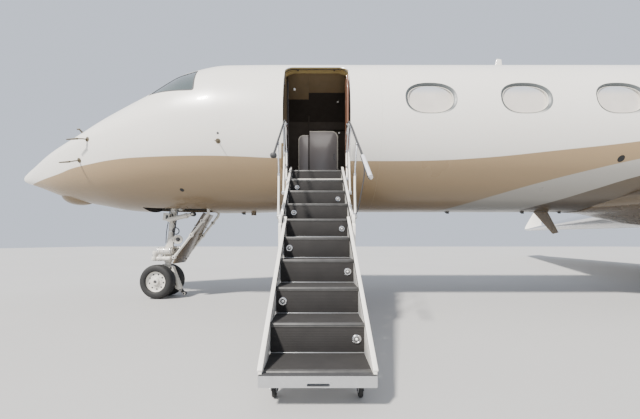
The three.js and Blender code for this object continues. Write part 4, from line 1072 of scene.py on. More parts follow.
piece("stair_upper_lamps", riser_lamps(range(5, 9)), "airframe")

# fold joints: pins, bosses and the bracket with its bolts on each side plate
fittings = Parts()
for side in (-1, 1):
    out = (side, 0, 0)
    at = (DS + side * SIDE_PLATE, FOLD[0], FOLD[1])
    fittings.add(STEEL, lathe([(10, 0), (30, 0), (30, 5), (24, 9), (12, 9), (10, 12), (0, 12)], at, out, 28))
    fittings.add(ALLOY, lathe([(52, -3), (52, 2), (48, 4), (32, 4), (30, -3)], at, out, 32))
    for a in range(0, 360, 45):
        spot = (at[0] + side * 3, at[1] + 41 * math.cos(math.radians(a)),
                at[2] + 41 * math.sin(math.radians(a)))
        fittings.add(STEEL, bolt(spot, out, 4.2, 4))
    for y in (-1960, -1700, -1440, -1180):
        for drop in (20, -120):
            fittings.add(STEEL, bolt((DS + side * SIDE_PLATE, *by_nose(y, drop)), out, 5.0, 4))
    latch = [by_nose(-2010, 64), by_nose(-1880, 64), by_nose(-1880, 84), by_nose(-1990, 84)]
    fittings.add(ALLOY, slab(latch, "x", DS + side * 366 - 7, DS + side * 366 + 7))
    fittings.add(STEEL, rod((DS + side * 350, *by_nose(-1945, 74)),
                            (DS + side * 384, *by_nose(-1945, 74)), 6))
piece("stair_fold_fittings", fittings, "airframe", bevel=0.6)


# Door skin under the upper flight, let down about its hinge at the sill

HINGE = (-900.0, 1900.0)
OPEN_ANGLE = math.radians(140)
R_SKIN, Z_SKIN = 1195.0, 2700.0


def let_down(y, z):
    dy, dz = y - HINGE[0], z - HINGE[1]
    c, s = math.cos(OPEN_ANGLE), math.sin(OPEN_ANGLE)
    return HINGE[0] + dy * c - dz * s, HINGE[1] + dy * s + dz * c


def door_point(radius, turn):
    return let_down(-radius * math.cos(turn), Z_SKIN + radius * math.sin(turn))


def door_turn(z):
    """Angle of a height along the closed door's arc."""
    return math.asin((z - Z_SKIN) / R_SKIN)


def door_arc(radius, low, high, count):
    return [door_point(radius, t) for t in np.linspace(door_turn(low), door_turn(high), count)]


def door_sheet(outer, inner, low, high, left, right, corner=0.0):
    """Curved sheet of the door between two radii, with its free corners rounded."""
    count = 29
    lines = [door_arc(r, low, high, count) for r in (outer, inner)]
    rings = []
    for k in range(count):
        reach = (1 - k / (count - 1)) * (high - low)
        pinch = 0.0
        if corner and reach < corner:
            pinch = corner - math.sqrt(max(0.0, corner ** 2 - (corner - reach) ** 2))
        (oy, oz), (iy, iz) = lines[0][k], lines[1][k]
        rings.append([(left + pinch, oy, oz), (right - pinch, oy, oz), (right - pinch, iy, iz),
                      (left + pinch, iy, iz)])
    return loft(rings)


door_low, door_high = DOOR["low"] + 8, DOOR["high"] - 8
door_parts = Parts([(door_sheet(R_SKIN, R_SKIN - 12, door_low, door_high, DS - 452, DS + 452, 120),
                     HULL_PAINT)])
for left in (DS - 438, DS + 396):
    door_parts.add(WHITE_PAINT, door_sheet(R_SKIN - 12, R_SKIN - 74, door_low + 14,
                                           door_high - 14, left, left + 42))
door_parts.add(LINING, door_sheet(R_SKIN - 12, R_SKIN - 90, door_low + 20,
                                  door_high - 24, DS - 396, DS + 396))
piece("door_skin", door_parts, "airframe", ["airstair_door"], 2.5)
door_trim = Parts()
for side in (-1, 1):
    edge = DS + side * 417
    for share in (0.06, 0.2, 0.36, 0.52, 0.68, 0.84, 0.95):
        a = door_turn(door_low) * (1 - share) + door_turn(door_high) * share
        y, z = door_point(R_SKIN - 74, a)
        y2, z2 = door_point(R_SKIN - 84, a)
        door_trim.add(STEEL, bolt((edge, y, z), (0, y2 - y, z2 - z), 7.5, 6))
    # roller fittings near the door's free corners
    y, z = door_point(R_SKIN - 80, door_turn(door_high - 60))
    door_trim.add(STEEL, rod((edge - 20, y, z + 12), (edge + 20, y, z + 12), 19))
    door_trim.add(SEAL, rod((edge - 26, y, z + 12), (edge + 26, y, z + 12), 8))
    door_trim.add(ALLOY,
                  box((edge - 28, y - 20, z - 12), (edge - 21, y + 22, z + 30)),
                  box((edge + 21, y - 20, z - 12), (edge + 28, y + 22, z + 30)))
piece("door_skin_fittings", door_trim, "airframe", bevel=0.8)

# Handrails


def at_door(points):
    return [(DS + x, y, z) for x, y, z in points]


RAIL = {-1: [(-415, -1130, 2440), (-414, -1300, 2568), (-430, -1750, 2200), (-434, -2200, 1834)],
        1: [(415, -1130, 2440), (425, -1300, 2550), (445, -1950, 2045), (460, -2590, 1530)]}
POSTS = [(-1230, -1150, 2200, -1300), (-1560, -1420, 2130, -1450), (-2020, -1960, 1700, -1900)]


def nearest_y(path, y):
    return min(path, key=lambda p: abs(p[1] - y))


for side, word in SIDES:
    path = tube_path(at_door(RAIL[side]), 16)
    rail_parts, metal = Parts(), Parts()
    start = [p for p in path if p[1] > -1330]
    rest = [p for p in path if p[1] <= -1290]
    metal.add(STEEL, pipe(start, 11))
    rail_parts.add(SEAL, pipe(rest, 11.5))
    for foot_y, mid_y, mid_z, rail_y in POSTS:
        foot = (DS + side * 408, foot_y, nose_z(foot_y) + 5)
        head = nearest_y(path, rail_y)
        post = tube_path([foot, (DS + side * 412, mid_y, mid_z), head], 14)
        split = int(len(post) * 0.55)
        metal.add(WHITE_PAINT, pipe(post[:split], 12, 14))
        metal.add(STEEL, pipe(post[split - 1:], 8, 14))
        metal.add(ALLOY, rod((DS + side * (SIDE_PLATE + 0.5), foot_y, foot[2]),
                             (DS + side * 424, foot_y, foot[2]), 25))
        metal.add(STEEL,
                  rod((DS + side * 392, foot_y, foot[2]), (DS + side * 428, foot_y, foot[2]), 14),
                  lathe([(10, -18), (15, -14), (15, 14), (10, 18)], post[-2], post[-1] - post[-4], 18))
        k = len(post) // 2
        metal.add(STEEL, lathe([(9.5, -20), (13, -16), (13, 16), (9.5, 20)], post[k],
                               post[k + 1] - post[k], 18))
    # diagonal stay between the first two posts
    a = (DS + side * 414, -1215, 2010)
    b = (DS + side * 414, -1490, 2165)
    metal.add(STEEL,
              pipe(tube_path([a, (DS + side * 418, -1400, 2010), b], 8), 8, 12),
              rod((DS + side * 404, -1195, 1985), (DS + side * 424, -1195, 1985), 22))
    metal.add(SEAL, rod((DS + side * 398, -1195, 1985), (DS + side * 430, -1195, 1985), 9))
    metal.add(STEEL, lathe([(13, -26), (20, -20), (20, 20), (13, 26)], start[len(start) // 2],
                           (0, -0.84, 0.54), 20))
    if side < 0:
        end = path[-1]
        rail_parts.add(SEAL, lathe([(0, -34), (17, -30), (26, -20), (29, 0), (26, 20), (17, 30), (0, 34)],
                                   end, AFT, 24))
        rail_parts.add(STEEL, rod(end + np.array([-36, 0, 0]), end + np.array([36, 0, 0]), 8))
    else:
        sleeve = [p for p in path if p[1] < -2200]
        rail_parts.add(LAVENDER, pipe(sleeve, 21, 20, 1.0))
        rail_parts.add(SEAL, pipe(np.asarray(sleeve) + (-19, 0, 0), 7, 12))
        rail_parts.add(STEEL, lathe([(14, 0), (21, 4), (21, 12), (14, 16)], path[-1],
                                    path[-1] - path[-3], 20))
        drop = [(DS + 456, -2230, 1800), (DS + 470, -2215, 1640), (DS + 442, -2150, 1420),
                (DS + 425, -2090, 1305), (DS + 412, -2040, 1262)]
        rail_parts.add(HOSE, pipe(tube_path(drop, 10), 6, 12))
        rail_parts.add(STEEL, rod((DS + 384, -2035, 1262), (DS + 418, -2035, 1262), 14))
    metal += rail_parts
    piece(f"handrail_{word}_tubes", metal, "airframe", [f"handrail_{word}"])

# Doorway: reveal, seal and sill


def round_loop(rings):
    """Closed band through sections of four points each."""
    n = len(rings)
    faces = [(i * 4 + k, i * 4 + (k + 1) % 4, (i + 1) % n * 4 + (k + 1) % 4, (i + 1) % n * 4 + k)
             for i in range(n) for k in range(4)]
    return np.array(rings).reshape(-1, 3), faces


def reveal_ring(outline, out_gap, depth, inset0, inset1, side=-1, fall=0):
    """Lining strip round a cut-out, following the skin: between two depths and two insets."""
    n = len(outline)
    cx = sum(p[0] for p in outline) / n
    cz = sum(p[1] for p in outline) / n
    rings = []
    for s, z in outline:
        d = math.hypot(s - cx, z - cz)
        ux, uz = (cx - s) / d, (cz - z) / d
        y0 = side * (skin_y(s, z) - out_gap)
        y1 = side * (skin_y(s, z) - depth)
        a = (s + ux * inset0, z + uz * inset0)
        b = (s + ux * inset1, z + uz * inset1)
        rings.append([(a[0], y0, a[1]), (b[0], y0 - side * fall, b[1]), (b[0], y1, b[1]), (a[0], y1, a[1])])
    return round_loop(rings)


door_line = opening(DOOR, 10)
frame_parts = [(reveal_ring(door_line, 4, 96, 0, 9), GOLD), (reveal_ring(door_line, 96, 150, 0, 15), GOLD),
               (reveal_ring(door_line, 26, 34, 8, 16), SEAL),
               (reveal_ring(door_line, 0.5, 7, -5, 4), ALLOY)]
piece("doorway_reveal", frame_parts, "airframe", bevel=1.0)
sill_line = [(-948, 1996), (-948, 1924), (-885, 1922), (-885, 1884), (-775, 1884), (-775, 1996)]
piece("doorway_sill", [(across(sill_line, 455), TREAD),
                       (across([(-930, 1995), (-790, 1995), (-790, 1999), (-930, 1999)], 440), CARPET)],
      "airframe", bevel=1.2)
side_trim = Parts()
aft = DS + DOOR["width"] / 2
fore = DS - DOOR["width"] / 2
side_trim.add(RED_WOOD,
              slab([(-1046, 2060), (-905, 2060), (-905, 3330), (-1000, 3300), (-1046, 3100)],
                   "x", aft - 30, aft - 10),
              slab([(-905, 2000), (-716, 2000), (-716, 3400), (-905, 3400)], "x", aft - 26, aft + 26))
side_trim.add(JAMB, slab([(-1150, 2000), (-716, 2000), (-716, 3400), (-905, 3400), (-1120, 2700)], "x",
                         fore - 26, fore + 14))
side_trim.add(WOOD, slab([(-762, 2000), (-716, 2000), (-716, 3400), (-762, 3400)], "x",
                         fore + 14, fore + 36))
# header panel sloping inward below the soffit, deeper on its forward part
for foot, low, start, end in ((-507, 3242, fore + 14, 5036), (-556, 3322, 5036, aft - 14)):
    side_trim.add(JAMB, slab([(-712, 3542), (foot, low), (foot + 12, low + 8), (-700, 3550)], "x", start,
                             end))
for at, way in (((4814, -590, 3358), (0, -0.83, -0.56)), ((5575, 460, 3680), (0, -0.3, -1)),
                ((5622, 741, 3187), (0, -1, 0))):
    side_trim.add(LAMP, lathe([(20, 0), (20, 5), (14, 9), (6, 11), (0, 11.5)], at, way, 20))
for x in (-278, 267):
    side_trim.add(SEAL, bolt((DS + x, -783, 3536), (0, 0, -1), 10, 7))
piece("doorway_trim", side_trim, "airframe", bevel=1.2)

# galley side seen through the doorway, near black: painted shade
cab_low, cab_high = 4440.5, 5859.5
liner = hull_loft(3000, 7000, WALL + 4, 48)
cabinet = shown("galley_front", [(box((cab_low, 762, 1961), (cab_high, 1400, 3420)), SHADED_INTERIOR)])
booleans(cabinet, [], [liner])
finish(cabinet, "airframe", ["galley_cabinet"], 35)


def arched(s0, s1, z0, z1, radius, left, right):
    points = [(s0, z0), (s1, z0)]
    for turn, on in ((0, right), (90, left)):
        cx = s1 - radius if turn == 0 else s0 + radius
        if on:
            points += [(cx + radius * math.cos(math.radians(turn + 90 * k / 10)),
                        z1 - radius + radius * math.sin(math.radians(turn + 90 * k / 10)))
                       for k in range(11)]
        else:
            points.append((s1 if turn == 0 else s0, z1))
    return points


fronts = [(slab(arched(5014, 5575, 1975, 3212, 115, False, True), "y", 742, 761), MAUVE),
          (slab(arched(5014, 5600, 1968, 3232, 130, False, True), "y", 752, 761.5), LINING),
          (slab(arched(4812, 5002, 1975, 3130, 90, True, False), "y", 742, 761), MAUVE),
          (slab(arched(4794, 5004, 1968, 3148, 100, True, False), "y", 752, 761.5), LINING),
          # near black post and slab between and above the fronts: painted shade
          (box((4998, 722, 1962), (5018, 760, 3590)), SHADED_INTERIOR),
          (box((5018, 735, 3250), (5780, 760, 3400)), SHADED_INTERIOR),
          (rod((5520, 738, 2640), (5520, 738, 2760), 7), STEEL)]
piece("galley_fronts", fronts, "airframe", bevel=2.0)
for node, mat in (("forward_partition", WOOD), ("aft_partition", WOOD), ("cabin_floor", FLOOR_CARPET)):
    low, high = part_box(node)
    s0, s1 = low.x * 1000 + LENGTH / 2, high.x * 1000 + LENGTH / 2
    z0, z1 = low.z * 1000, high.z * 1000
    wall = shown(node + "_panel", [(box((s0, -1400, z0), (s1, 1400, min(z1, 3800))), mat)])
    if "partition" in node:
        # passage through the partition, whose outline reads [y, z]
        cut = slab(rounded(0, (z0 - 200 + 3640) / 2, 600, 3640 - z0 + 200, 90), "x", s0 - 20, s1 + 20)
    else:
        cut = box((DS - 458, -1400, 1800), (DS + 458, -774.7, 2050))
    booleans(wall, [cut], [hull_loft(3200, 16200, WALL + 2, 64)])
    finish(wall, "airframe", [node], 35)


# Cabin windows: reveal, gasket, pane with its shade drawn behind


def pane_y(z):
    low, high = WINDOW["height"] - WINDOW["tall"] / 2, WINDOW["height"] + WINDOW["tall"] / 2
    a, b = skin_y(9000, low), skin_y(9000, high)
    return a + (b - a) * (z - low) / (high - low)


def pane_sheet(outline, side, inset, depth, bulge):
    """Thin closed sheet inside an outline, gently bulged outward."""
    cx = sum(p[0] for p in outline) / len(outline)
    cz = sum(p[1] for p in outline) / len(outline)
    rings = []
    for k in range(9):
        share = math.sin(math.pi / 2 * k / 8)
        ring = []
        for s, z in outline:
            d = math.hypot(s - cx, z - cz)
            q = (d - inset) / d * share if k else 0.002
            a, b = cx + (s - cx) * q, cz + (z - cz) * q
            ring.append((a, side * (pane_y(b) - depth + bulge * (1 - share ** 2)), b))
        rings.append(ring)
    back = [(s2, y2 - side * 6, z2) for s2, y2, z2 in rings[-1]]
    return loft(rings + [back])


for side, word in SIDES:
    shades, rims = Parts(), Parts()
    for s in window_stations:
        line = oval(s, 0)
        # reveal ring, grey above and pale below: painted shade and painted light
        rims.add(SHADED_WINDOW_RING, reveal_ring(line, 1.0, 62, 0.3, 36, side, 25))
        rims.add(SEAL, reveal_ring(line, 24, 60, 35, 41, side))
        rims.add(LINING, reveal_ring(line, 22, 60, 40, 48, side))
        shades.add(SHADE, pane_sheet(line, side, 44, 30, 3))
        shades.add(LINING, slab(oval(s, 8, 40), "y", *sorted((side * 930, side * 958))))
    back = slab(rounded(11050, 2915, 9690, 540, 40), "y", *sorted((side * 952, side * 975)))
    shades.add(LINING, back)
    piece(f"window_rims_{word}", rims, "airframe", bevel=0.8)
    piece(f"window_shades_{word}_panes", shades, "airframe", [f"window_shades_{word}"])

# Cockpit glazing


def under_skin(p, flat, side, level):
    """Point a level under the skin, from [station, z] where flat is y, or [station, y] where it is z."""
    if flat == "y":
        q = Vector((p.x, side * skin_y(p.x, p.y), p.y))
    else:
        q = Vector((p.x, side * p.y, skin_z(p.x, p.y)))
    return tuple(q - skin_normal(*q) * level)


def skin_pane(outline, flat, side, inset, depth, thick, steps=14):
    """Curved pane that follows the skin inside an outline of [station, z] or [station, y]."""
    corners = [Vector(p) for p in inset_outline(outline, inset)]
    grid = []
    for i in range(steps + 1):
        top = corners[0].lerp(corners[1], i / steps)
        low = corners[3].lerp(corners[2], i / steps)
        grid += [top.lerp(low, j / steps) for j in range(steps + 1)]
    points = [under_skin(p, flat, side, level) for level in (depth, depth + thick) for p in grid]
    n = steps + 1
    faces = []
    for level in range(2):
        base = level * n * n
        for i in range(steps):
            for j in range(steps):
                a = base + i * n + j
                quad = (a, a + 1, a + n + 1, a + n)
                faces.append(quad if level else quad[::-1])
    ring = [(i, 0) for i in range(n)] + [(steps, j) for j in range(1, n)] + \
           [(i, steps) for i in range(steps - 1, -1, -1)] + [(0, j) for j in range(steps - 1, 0, -1)]
    for k in range(len(ring)):
        (a, b), (c, d) = ring[k], ring[(k + 1) % len(ring)]
        faces.append((a * n + b, c * n + d, n * n + c * n + d, n * n + a * n + b))
    return np.array(points), faces


def pane_frame(outline, flat, side, width):
    """Narrow frame that follows the skin round a pane."""
    outer = soft_corners(inset_outline(outline, -2), 55, 6)
    inner = soft_corners(inset_outline(outline, width), 40, 6)
    dense_a, dense_b = [], []
    for i in range(len(outer)):
        a, b = Vector(outer[i]), Vector(outer[(i + 1) % len(outer)])
        c, d = Vector(inner[i]), Vector(inner[(i + 1) % len(inner)])
        count = max(1, int((b - a).length // 60))
        for k in range(count):
            dense_a.append(a.lerp(b, k / count))
            dense_b.append(c.lerp(d, k / count))
    return round_loop([[under_skin(p, flat, side, level) for p,
                        level in ((a, -1.2), (b, 2.0), (b, 14), (a, 14))]
                       for a, b in zip(dense_a, dense_b)])


# Inset, depth and thickness of the panes, and the width of their frames
PANE_FIT = (4, 5, 18)
PANE_FRAME = 20
for side, word in SIDES:
    piece(f"side_pane_{word}", [(skin_pane(SIDE_PANE, "y", side, *PANE_FIT), GLASS)], "airframe",
          [f"cockpit_window_{word}"], angle=50)
    piece(f"windshield_{word}_pane", [(skin_pane(FRONT_PANE, "z", side, *PANE_FIT), GLASS)], "airframe",
          [f"windshield_{word}"], angle=50)
    frames = [(pane_frame(SIDE_PANE, "y", side, PANE_FRAME), SEAL),
              (pane_frame(FRONT_PANE, "z", side, PANE_FRAME), SEAL)]
    piece(f"pane_frames_{word}", frames, "airframe")

# Pilots' seats and panel

for side, word in SIDES:
    y0, y1 = sorted((side * 232, side * 698))
    mid = (y0 + y1) / 2
    cushion = shown(f"seat_{word}_pads", [
        (slab([(3410, 2350), (3790, 2335), (3800, 2440), (3760, 2470), (3430, 2480), (3400, 2440)],
              "y", y0, y1), LEATHER),
                                          (slab([(3745, 2430), (3830, 2420), (3950, 2990), (3935, 3040),
                                                 (3870, 3050), (3830, 2990)], "y", y0 + 20, y1 - 20),
                                           LEATHER),
                                          (slab([(3850, 2990), (3940, 2990), (3975, 3105), (3950, 3120),
                                                 (3880, 3110)], "y", mid - 120, mid + 120), LEATHER)])
    mod = cushion.modifiers.new("soft", "BEVEL")
    mod.width, mod.segments, mod.limit_method = 0.032, 4, "ANGLE"
    baked(cushion)
    smooth_by_angle(cushion.data, 60)
    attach(cushion, "airframe")
    base = Parts([(slab([(3420, 1961), (3800, 1961), (3780, 2010), (3440, 2010)], "y", y0 + 60, y1 - 60),
                   BLACK_PLASTIC),
                  (slab([(3500, 2000), (3720, 2000), (3760, 2345), (3450, 2345)], "y", y0 + 90, y1 - 90),
                   BLACK_PLASTIC),
                  (slab([(3800, 2440), (3845, 2440), (3965, 3060), (3950, 3070)], "y", y0 + 60, y1 - 60),
                   BLACK_PLASTIC)])
    for edge in (y0 + 8, y1 - 58):
        base.add(LEATHER, slab([(3480, 2560), (3780, 2560), (3780, 2610), (3480, 2610)],
                               "y", edge, edge + 50))
    piece(f"seat_{word}_frame", base, "airframe", [f"pilot_seat_{word}"], 8.0, segments=3)

panel_line = [(2482, 2300), (2975, 2300), (2975, 2860), (2880, 2930), (2760, 2938),
              (2600, 2915), (2482, 2870)]
panel = shown("flight_panel", [(slab(panel_line, "y", -1300, 1300), BLACK_PLASTIC),
                               (box((2900, -200, 2111), (2980, 200, 2320)), BLACK_PLASTIC)])
booleans(panel, [], [hull_loft(2000, 3800, WALL + 6, 64)])
finish(panel, "airframe", ["instrument_panel"], 35)
screen_rows = (-560, -200, 200, 560)
screens = Parts([(slab(rounded(y, 2640, 300, 210, 14), "x", 2974, 2981), SEAL) for y in screen_rows])
screens += [(slab(rounded(y, 2640, 270, 180, 8), "x", 2980, 2983), GLASS) for y in screen_rows]
for y in (-465, 465):
    screens.add(BLACK_PLASTIC, pipe(tube_path([(3020, y, 1980), (3040, y, 2300), (3010, y, 2560)], 10), 24))
    yoke = tube_path([(3030, y - 150, 2680), (3018, y - 120, 2570), (3012, y, 2555), (3018, y + 120, 2570),
                      (3030, y + 150, 2680)], 10)
    screens.add(BLACK_PLASTIC, pipe(yoke, 15))
piece("flight_deck_trim", screens, "airframe", bevel=1.5)

# Wheels and nose gear


def tyre_profile(radius, width, rim, grooves=4):
    """[radius, distance across] of a tyre, from bead to bead and back through the inside."""
    h = radius - rim
    half = [(rim, 0.40), (rim + 0.05 * h, 0.455), (rim + 0.2 * h, 0.495), (rim + 0.42 * h, 0.512),
            (rim + 0.62 * h, 0.50),
            (rim + 0.78 * h, 0.462), (rim + 0.89 * h, 0.405), (rim + 0.955 * h, 0.34),
            (rim + 0.985 * h, 0.27)]
    tread = []
    for k in range(grooves):
        at = 0.22 - 0.44 * k / (grooves - 1)
        tread += [(radius, at + 0.02), (radius - 6, at + 0.013),
                  (radius - 6, at - 0.013), (radius, at - 0.02)]
    other = [(r, -a) for r, a in half[::-1]]
    inside = [(rim - 6, -0.36), (rim - 6, 0.36)]
    return [(r, a * width) for r, a in half + tread + other + inside]


def wheel_parts(centre, out, radius, width, rim):
    """One wheel on a cross axle: tyre, dished rim with holes, tie bolts, hub cap."""
    c = np.array(centre, float)
    axis = np.array((0.0, 1.0, 0.0))
    parts = Parts([(lathe(tyre_profile(radius, width, rim), c, axis, 72, closed=True), RUBBER)])
    w = width * 0.42
    rim_line = [(rim + 4, w + 2), (rim + 4, w - 8), (rim - 7, w - 12), (rim - 12, w - 26),
                (rim * 0.80, w - 40),
                (rim * 0.62, w - 36), (rim * 0.40, w - 22), (rim * 0.34, w - 4), (rim * 0.30, w + 2),
                (rim * 0.17, w + 3), (rim * 0.16, w - 16), (0, w - 16), (0, -w + 20), (rim * 0.5, -w + 20),
                (rim * 0.86, -w + 6), (rim - 4, -w + 4), (rim + 4, -w - 2),
                (rim + 2, -w + 12), (rim - 2, 0)]
    line = [(r, a * out) for r, a in rim_line]
    parts.add(GEAR_PAINT, lathe(line, c, axis, 56, closed=True))
    side, up = (np.array(v) for v in frame_of(axis)[1:])

    def around(k, share, across_):
        a = 2 * math.pi * k / 9
        return c + (side * math.cos(a) + up * math.sin(a)) * rim * share + axis * out * across_

    hole = rim * 0.085
    dark = [(0, 0), (hole, 0), (hole, 2.0), (hole * 0.8, 2.6), (0, 2.6)]
    parts += [(lathe(dark, around(k, 0.70, w - 38.5), axis * out, 18), SEAL) for k in range(9)]
    parts += [(bolt(around(k + 0.5, 0.52, w - 33), axis * out, rim * 0.034, 7), STEEL) for k in range(9)]
    parts.add(SEAL, lathe([(0, w - 18), (rim * 0.13, w - 18), (rim * 0.13, w - 8), (rim * 0.07, w - 5),
                           (0, w - 5)], c, axis * out, 20))
    return parts


LEAN = math.radians(6.5)
STEER = math.radians(-4.5)
LEG_AT = np.array([2495.0, 0.0, 285.5])
TRAIL = -55.0
NOSE_WHEEL = {"radius": 290, "width": 178, "rim": 178, "offset": 150}


def on_leg(geo):
    """From the leg's own frame, z up along the leg, to the aircraft."""
    p = np.asarray(geo[0], float)
    rot = np.array(Matrix.Rotation(LEAN, 3, "Y"))
    return p @ rot.T + LEG_AT, geo[1]


def on_fork(geo):
    rot = np.array(Matrix.Rotation(STEER, 3, "Z"))
    return on_leg((np.asarray(geo[0], float) @ rot.T, geo[1]))


def stepped(a, b, steps, segments=32):
    """Round body between two points, from pairs of radius and share of the length."""
    a, b = np.array(a, float), np.array(b, float)
    long = float(np.linalg.norm(b - a))
    return lathe([(0, 0)] + [(r, t * long) for r, t in steps] + [(0, long)], a, b - a, segments)


def ring_of(centre, axis, radius, thick, segments=36):
    """Round wire bent into a full circle."""
    line = [(radius + thick * math.cos(2 * math.pi * k / 12), thick * math.sin(2 * math.pi * k / 12))
            for k in range(12)]
    return lathe(line, centre, axis, segments, closed=True)


def link(a, b, wide_a, wide_b, thick, y):
    """Flat tapered arm between two points in the plane y, with round ends."""
    a, b = Vector(a), Vector(b)
    d = (b - a).normalized()
    points = []
    base = math.atan2(-d.y, -d.x)
    for k in range(9):
        t = base - math.pi / 2 + math.pi * k / 8
        points.append((a.x + wide_a * math.cos(t), a.y + wide_a * math.sin(t)))
    for k in range(9):
        t = base + math.pi / 2 + math.pi * k / 8
        points.append((b.x + wide_b * math.cos(t), b.y + wide_b * math.sin(t)))
    return slab(points, "y", y - thick / 2, y + thick / 2)


nose_parts = Parts()
for out in (-1, 1):
    centre = (TRAIL, out * NOSE_WHEEL["offset"], 0)
    for geo, mat in wheel_parts(centre, out, NOSE_WHEEL["radius"], NOSE_WHEEL["width"], NOSE_WHEEL["rim"]):
        nose_parts.append((on_fork(geo), mat))
    sleeve = lathe([(33, -57), (60, -55), (64, -40), (64, 40), (60, 55), (33, 57)],
                   (TRAIL, out * 93, 0), STARBOARD, 28)
    nose_parts.add(GEAR_PAINT, on_fork(sleeve))
piece("nose_wheel_pair", nose_parts, "nose_wheel_pair", ["nose_wheels"], angle=38)

# turning part of the nose gear: collar, piston, axle and the torque links
HEAD, ELBOW, TOW = (82, 245), (300, -128), (366, -177)
steered = Parts()
steered.add(GEAR_PAINT, stepped((0, 0, 195), (0, 0, 329), [(44, 0), (52, 0.06), (52, 0.34), (47, 0.38),
                                                           (47, 0.62), (52, 0.66), (52, 0.95), (48, 1)], 40))
steered.add(CHROME, rod((0, 0, -20), (0, 0, 300), 33, soft=0.05))
steered.add(GEAR_PAINT,
            rod((0, 0, 74), (TRAIL, 0, 16), 34, 40),
            lathe([(0, -34), (58, -34), (62, -28), (62, 28), (58, 34), (0, 34)],
                  (TRAIL, 0, 0), STARBOARD, 36))
steered.add(STEEL, rod((TRAIL, -212, 0), (TRAIL, 212, 0), 31, soft=0.1))
steered.add(GEAR_PAINT, link((0, 240), HEAD, 40, 34, 60, 0))
for y in (-31, 31):
    steered.add(GEAR_PAINT, link(HEAD, ELBOW, 34, 21, 14, y))
steered.add(GEAR_PAINT, link(HEAD, ELBOW, 20, 11, 60, 0), link((15, 0), ELBOW, 30, 20, 40, 0))
for y in (-1, 1):
    steered.add(SEAL, lathe([(0, 0), (19, 0), (21, 3), (21, 6), (17, 9), (0, 9)],
                            (HEAD[0], y * 38, HEAD[1]), (0, y, 0), 24))
    steered.add(STEEL,
                lathe([(0, 0), (16, 0), (16, 8), (9, 12), (0, 12)],
                      (ELBOW[0], y * 38, ELBOW[1]), (0, y, 0), 20),
                lathe([(0, 0), (14, 0), (14, 8), (8, 11), (0, 11)], (15, y * 20, 0), (0, y, 0), 20))
steered.add(SEAL, rod((ELBOW[0], -49, ELBOW[1]), (ELBOW[0], 49, ELBOW[1]), 20, soft=0.1))
# towing fitting behind the torque links
steered.add(SEAL,
            link(ELBOW, TOW, 24, 24, 28, 0),
            lathe([(0, -30), (27, -30), (33, -24), (33, 24), (27, 30), (0, 30)],
                  (TOW[0], 0, TOW[1]), STARBOARD, 28))
for y in (-1, 1):
    steered.add(GEAR_PAINT, ring_of((TOW[0], y * 30, TOW[1]), STARBOARD, 22, 3.5))
steer_parts = [(on_fork(geo), mat) for geo, mat in steered]
piece("nose_fork", steer_parts, "nose_steering", ["nose_steering"], 1.2)

# standing part of the nose gear: barrel, trunnion, drag brace with its panel
fixed = Parts()
fixed.add(GEAR_PAINT,
          stepped((0, 0, 330.3), (0, 0, 642), [(58, 0), (66, 0.03), (66, 0.2), (61, 0.23), (61, 0.34),
                                               (66, 0.37), (66, 0.96), (58, 1)], 40),
          stepped((0, 0, 630), (0, 0, 1322), [(56, 0), (56, 0.16), (51, 0.19), (51, 0.40), (56, 0.43),
                                              (56, 0.56), (50, 0.59), (50, 0.80), (56, 0.83), (56, 1)], 40),
          rod((0, 0, 1290), (0, 0, 1800), 50),
          rod((0, 0, 455), (215, 0, 455), 40),
          rod((60, 0, 600), (322, 0, 645), 22))
for x, z, r, half in ((0, 1320, 45, 299), (694, 1357, 34, 299), (215, 455, 26, 245),
                      (-20, 530, 45, 105), (0, 400, 30, 105)):
    fixed.add(GEAR_PAINT, rod((x, -half, z), (x, half, z), r, soft=0.1))
for side in (-1, 1):
    y = side * 105
    fixed.add(GEAR_PAINT,
              stepped((-148, y, 518), (108, y, 547), [(44, 0), (54, 0.03), (62, 0.06), (62, 0.24),
                                                      (56, 0.27), (56, 0.33), (62, 0.36), (62, 0.8),
                                                      (55, 0.83), (55, 0.9), (46, 0.92), (46, 1)]),
              stepped((-140, y, 385), (98, y, 412), [(34, 0), (42, 0.04), (42, 0.3), (38, 0.33),
                                                     (38, 0.72), (42, 0.75), (42, 0.94), (34, 1)]),
              stepped((-190, y, 345), (-178, y, 512), [(36, 0), (48, 0.07), (48, 0.3), (43, 0.34),
                                                       (43, 0.6), (48, 0.64), (48, 0.93), (36, 1)]))
    fixed.add(STEEL,
              ring_of((-194, side * 144, 432), STARBOARD, 17, 4),
              rod((-60, side * 118, 400), (-60, side * 118, 528), 13))
    for x in (-120, -20, 84):
        fixed.add(STEEL, lathe([(59, -6), (65, -5), (65, 5), (59, 6)],
                               (x, y, 532.5 + 0.113 * (x + 20)), (1, 0, 0.113), 30))
    # drag brace tubes with their end fittings
    a, b = np.array((215, side * 245, 455.0)), np.array((708, side * 245, 1262.0))
    fixed.add(GEAR_PAINT,
              stepped(a, b, [(24, 0), (24, 0.07), (20, 0.1), (20, 0.44), (24, 0.47), (24, 0.53),
                             (20, 0.56), (20, 0.9), (24, 0.93), (24, 1)], 24),
              rod((708, side * 245, 1262), (694, side * 245, 1357), 24))
    for share in (0.0, 0.5, 0.82):
        spot = a + (b - a) * share
        fixed.add(GEAR_PAINT, lathe([(0, -26), (28, -26), (32, -20), (32, 20), (28, 26), (0, 26)],
                                    spot, STARBOARD, 24))
        fixed.add(SEAL, rod(spot + (0, -31, 0), spot + (0, 31, 0), 12))
    for share in (0.2, 0.68):
        spot = a + (b - a) * share
        fixed.add(STEEL, rod(spot, spot + (-70, -side * 30, 30), 9))
PANEL = [(183, 351), (205, 341), (627, 1252), (605, 1262)]
# the panel's outer face in the darker tan: painted shade
fixed.add(SHADED_TAN_PAINT, slab(PANEL, "y", -215, 215))
fixed.add(PANEL_BACK, slab([(178, 365), (186, 361), (597, 1247), (589, 1251)], "y", -198, 198))
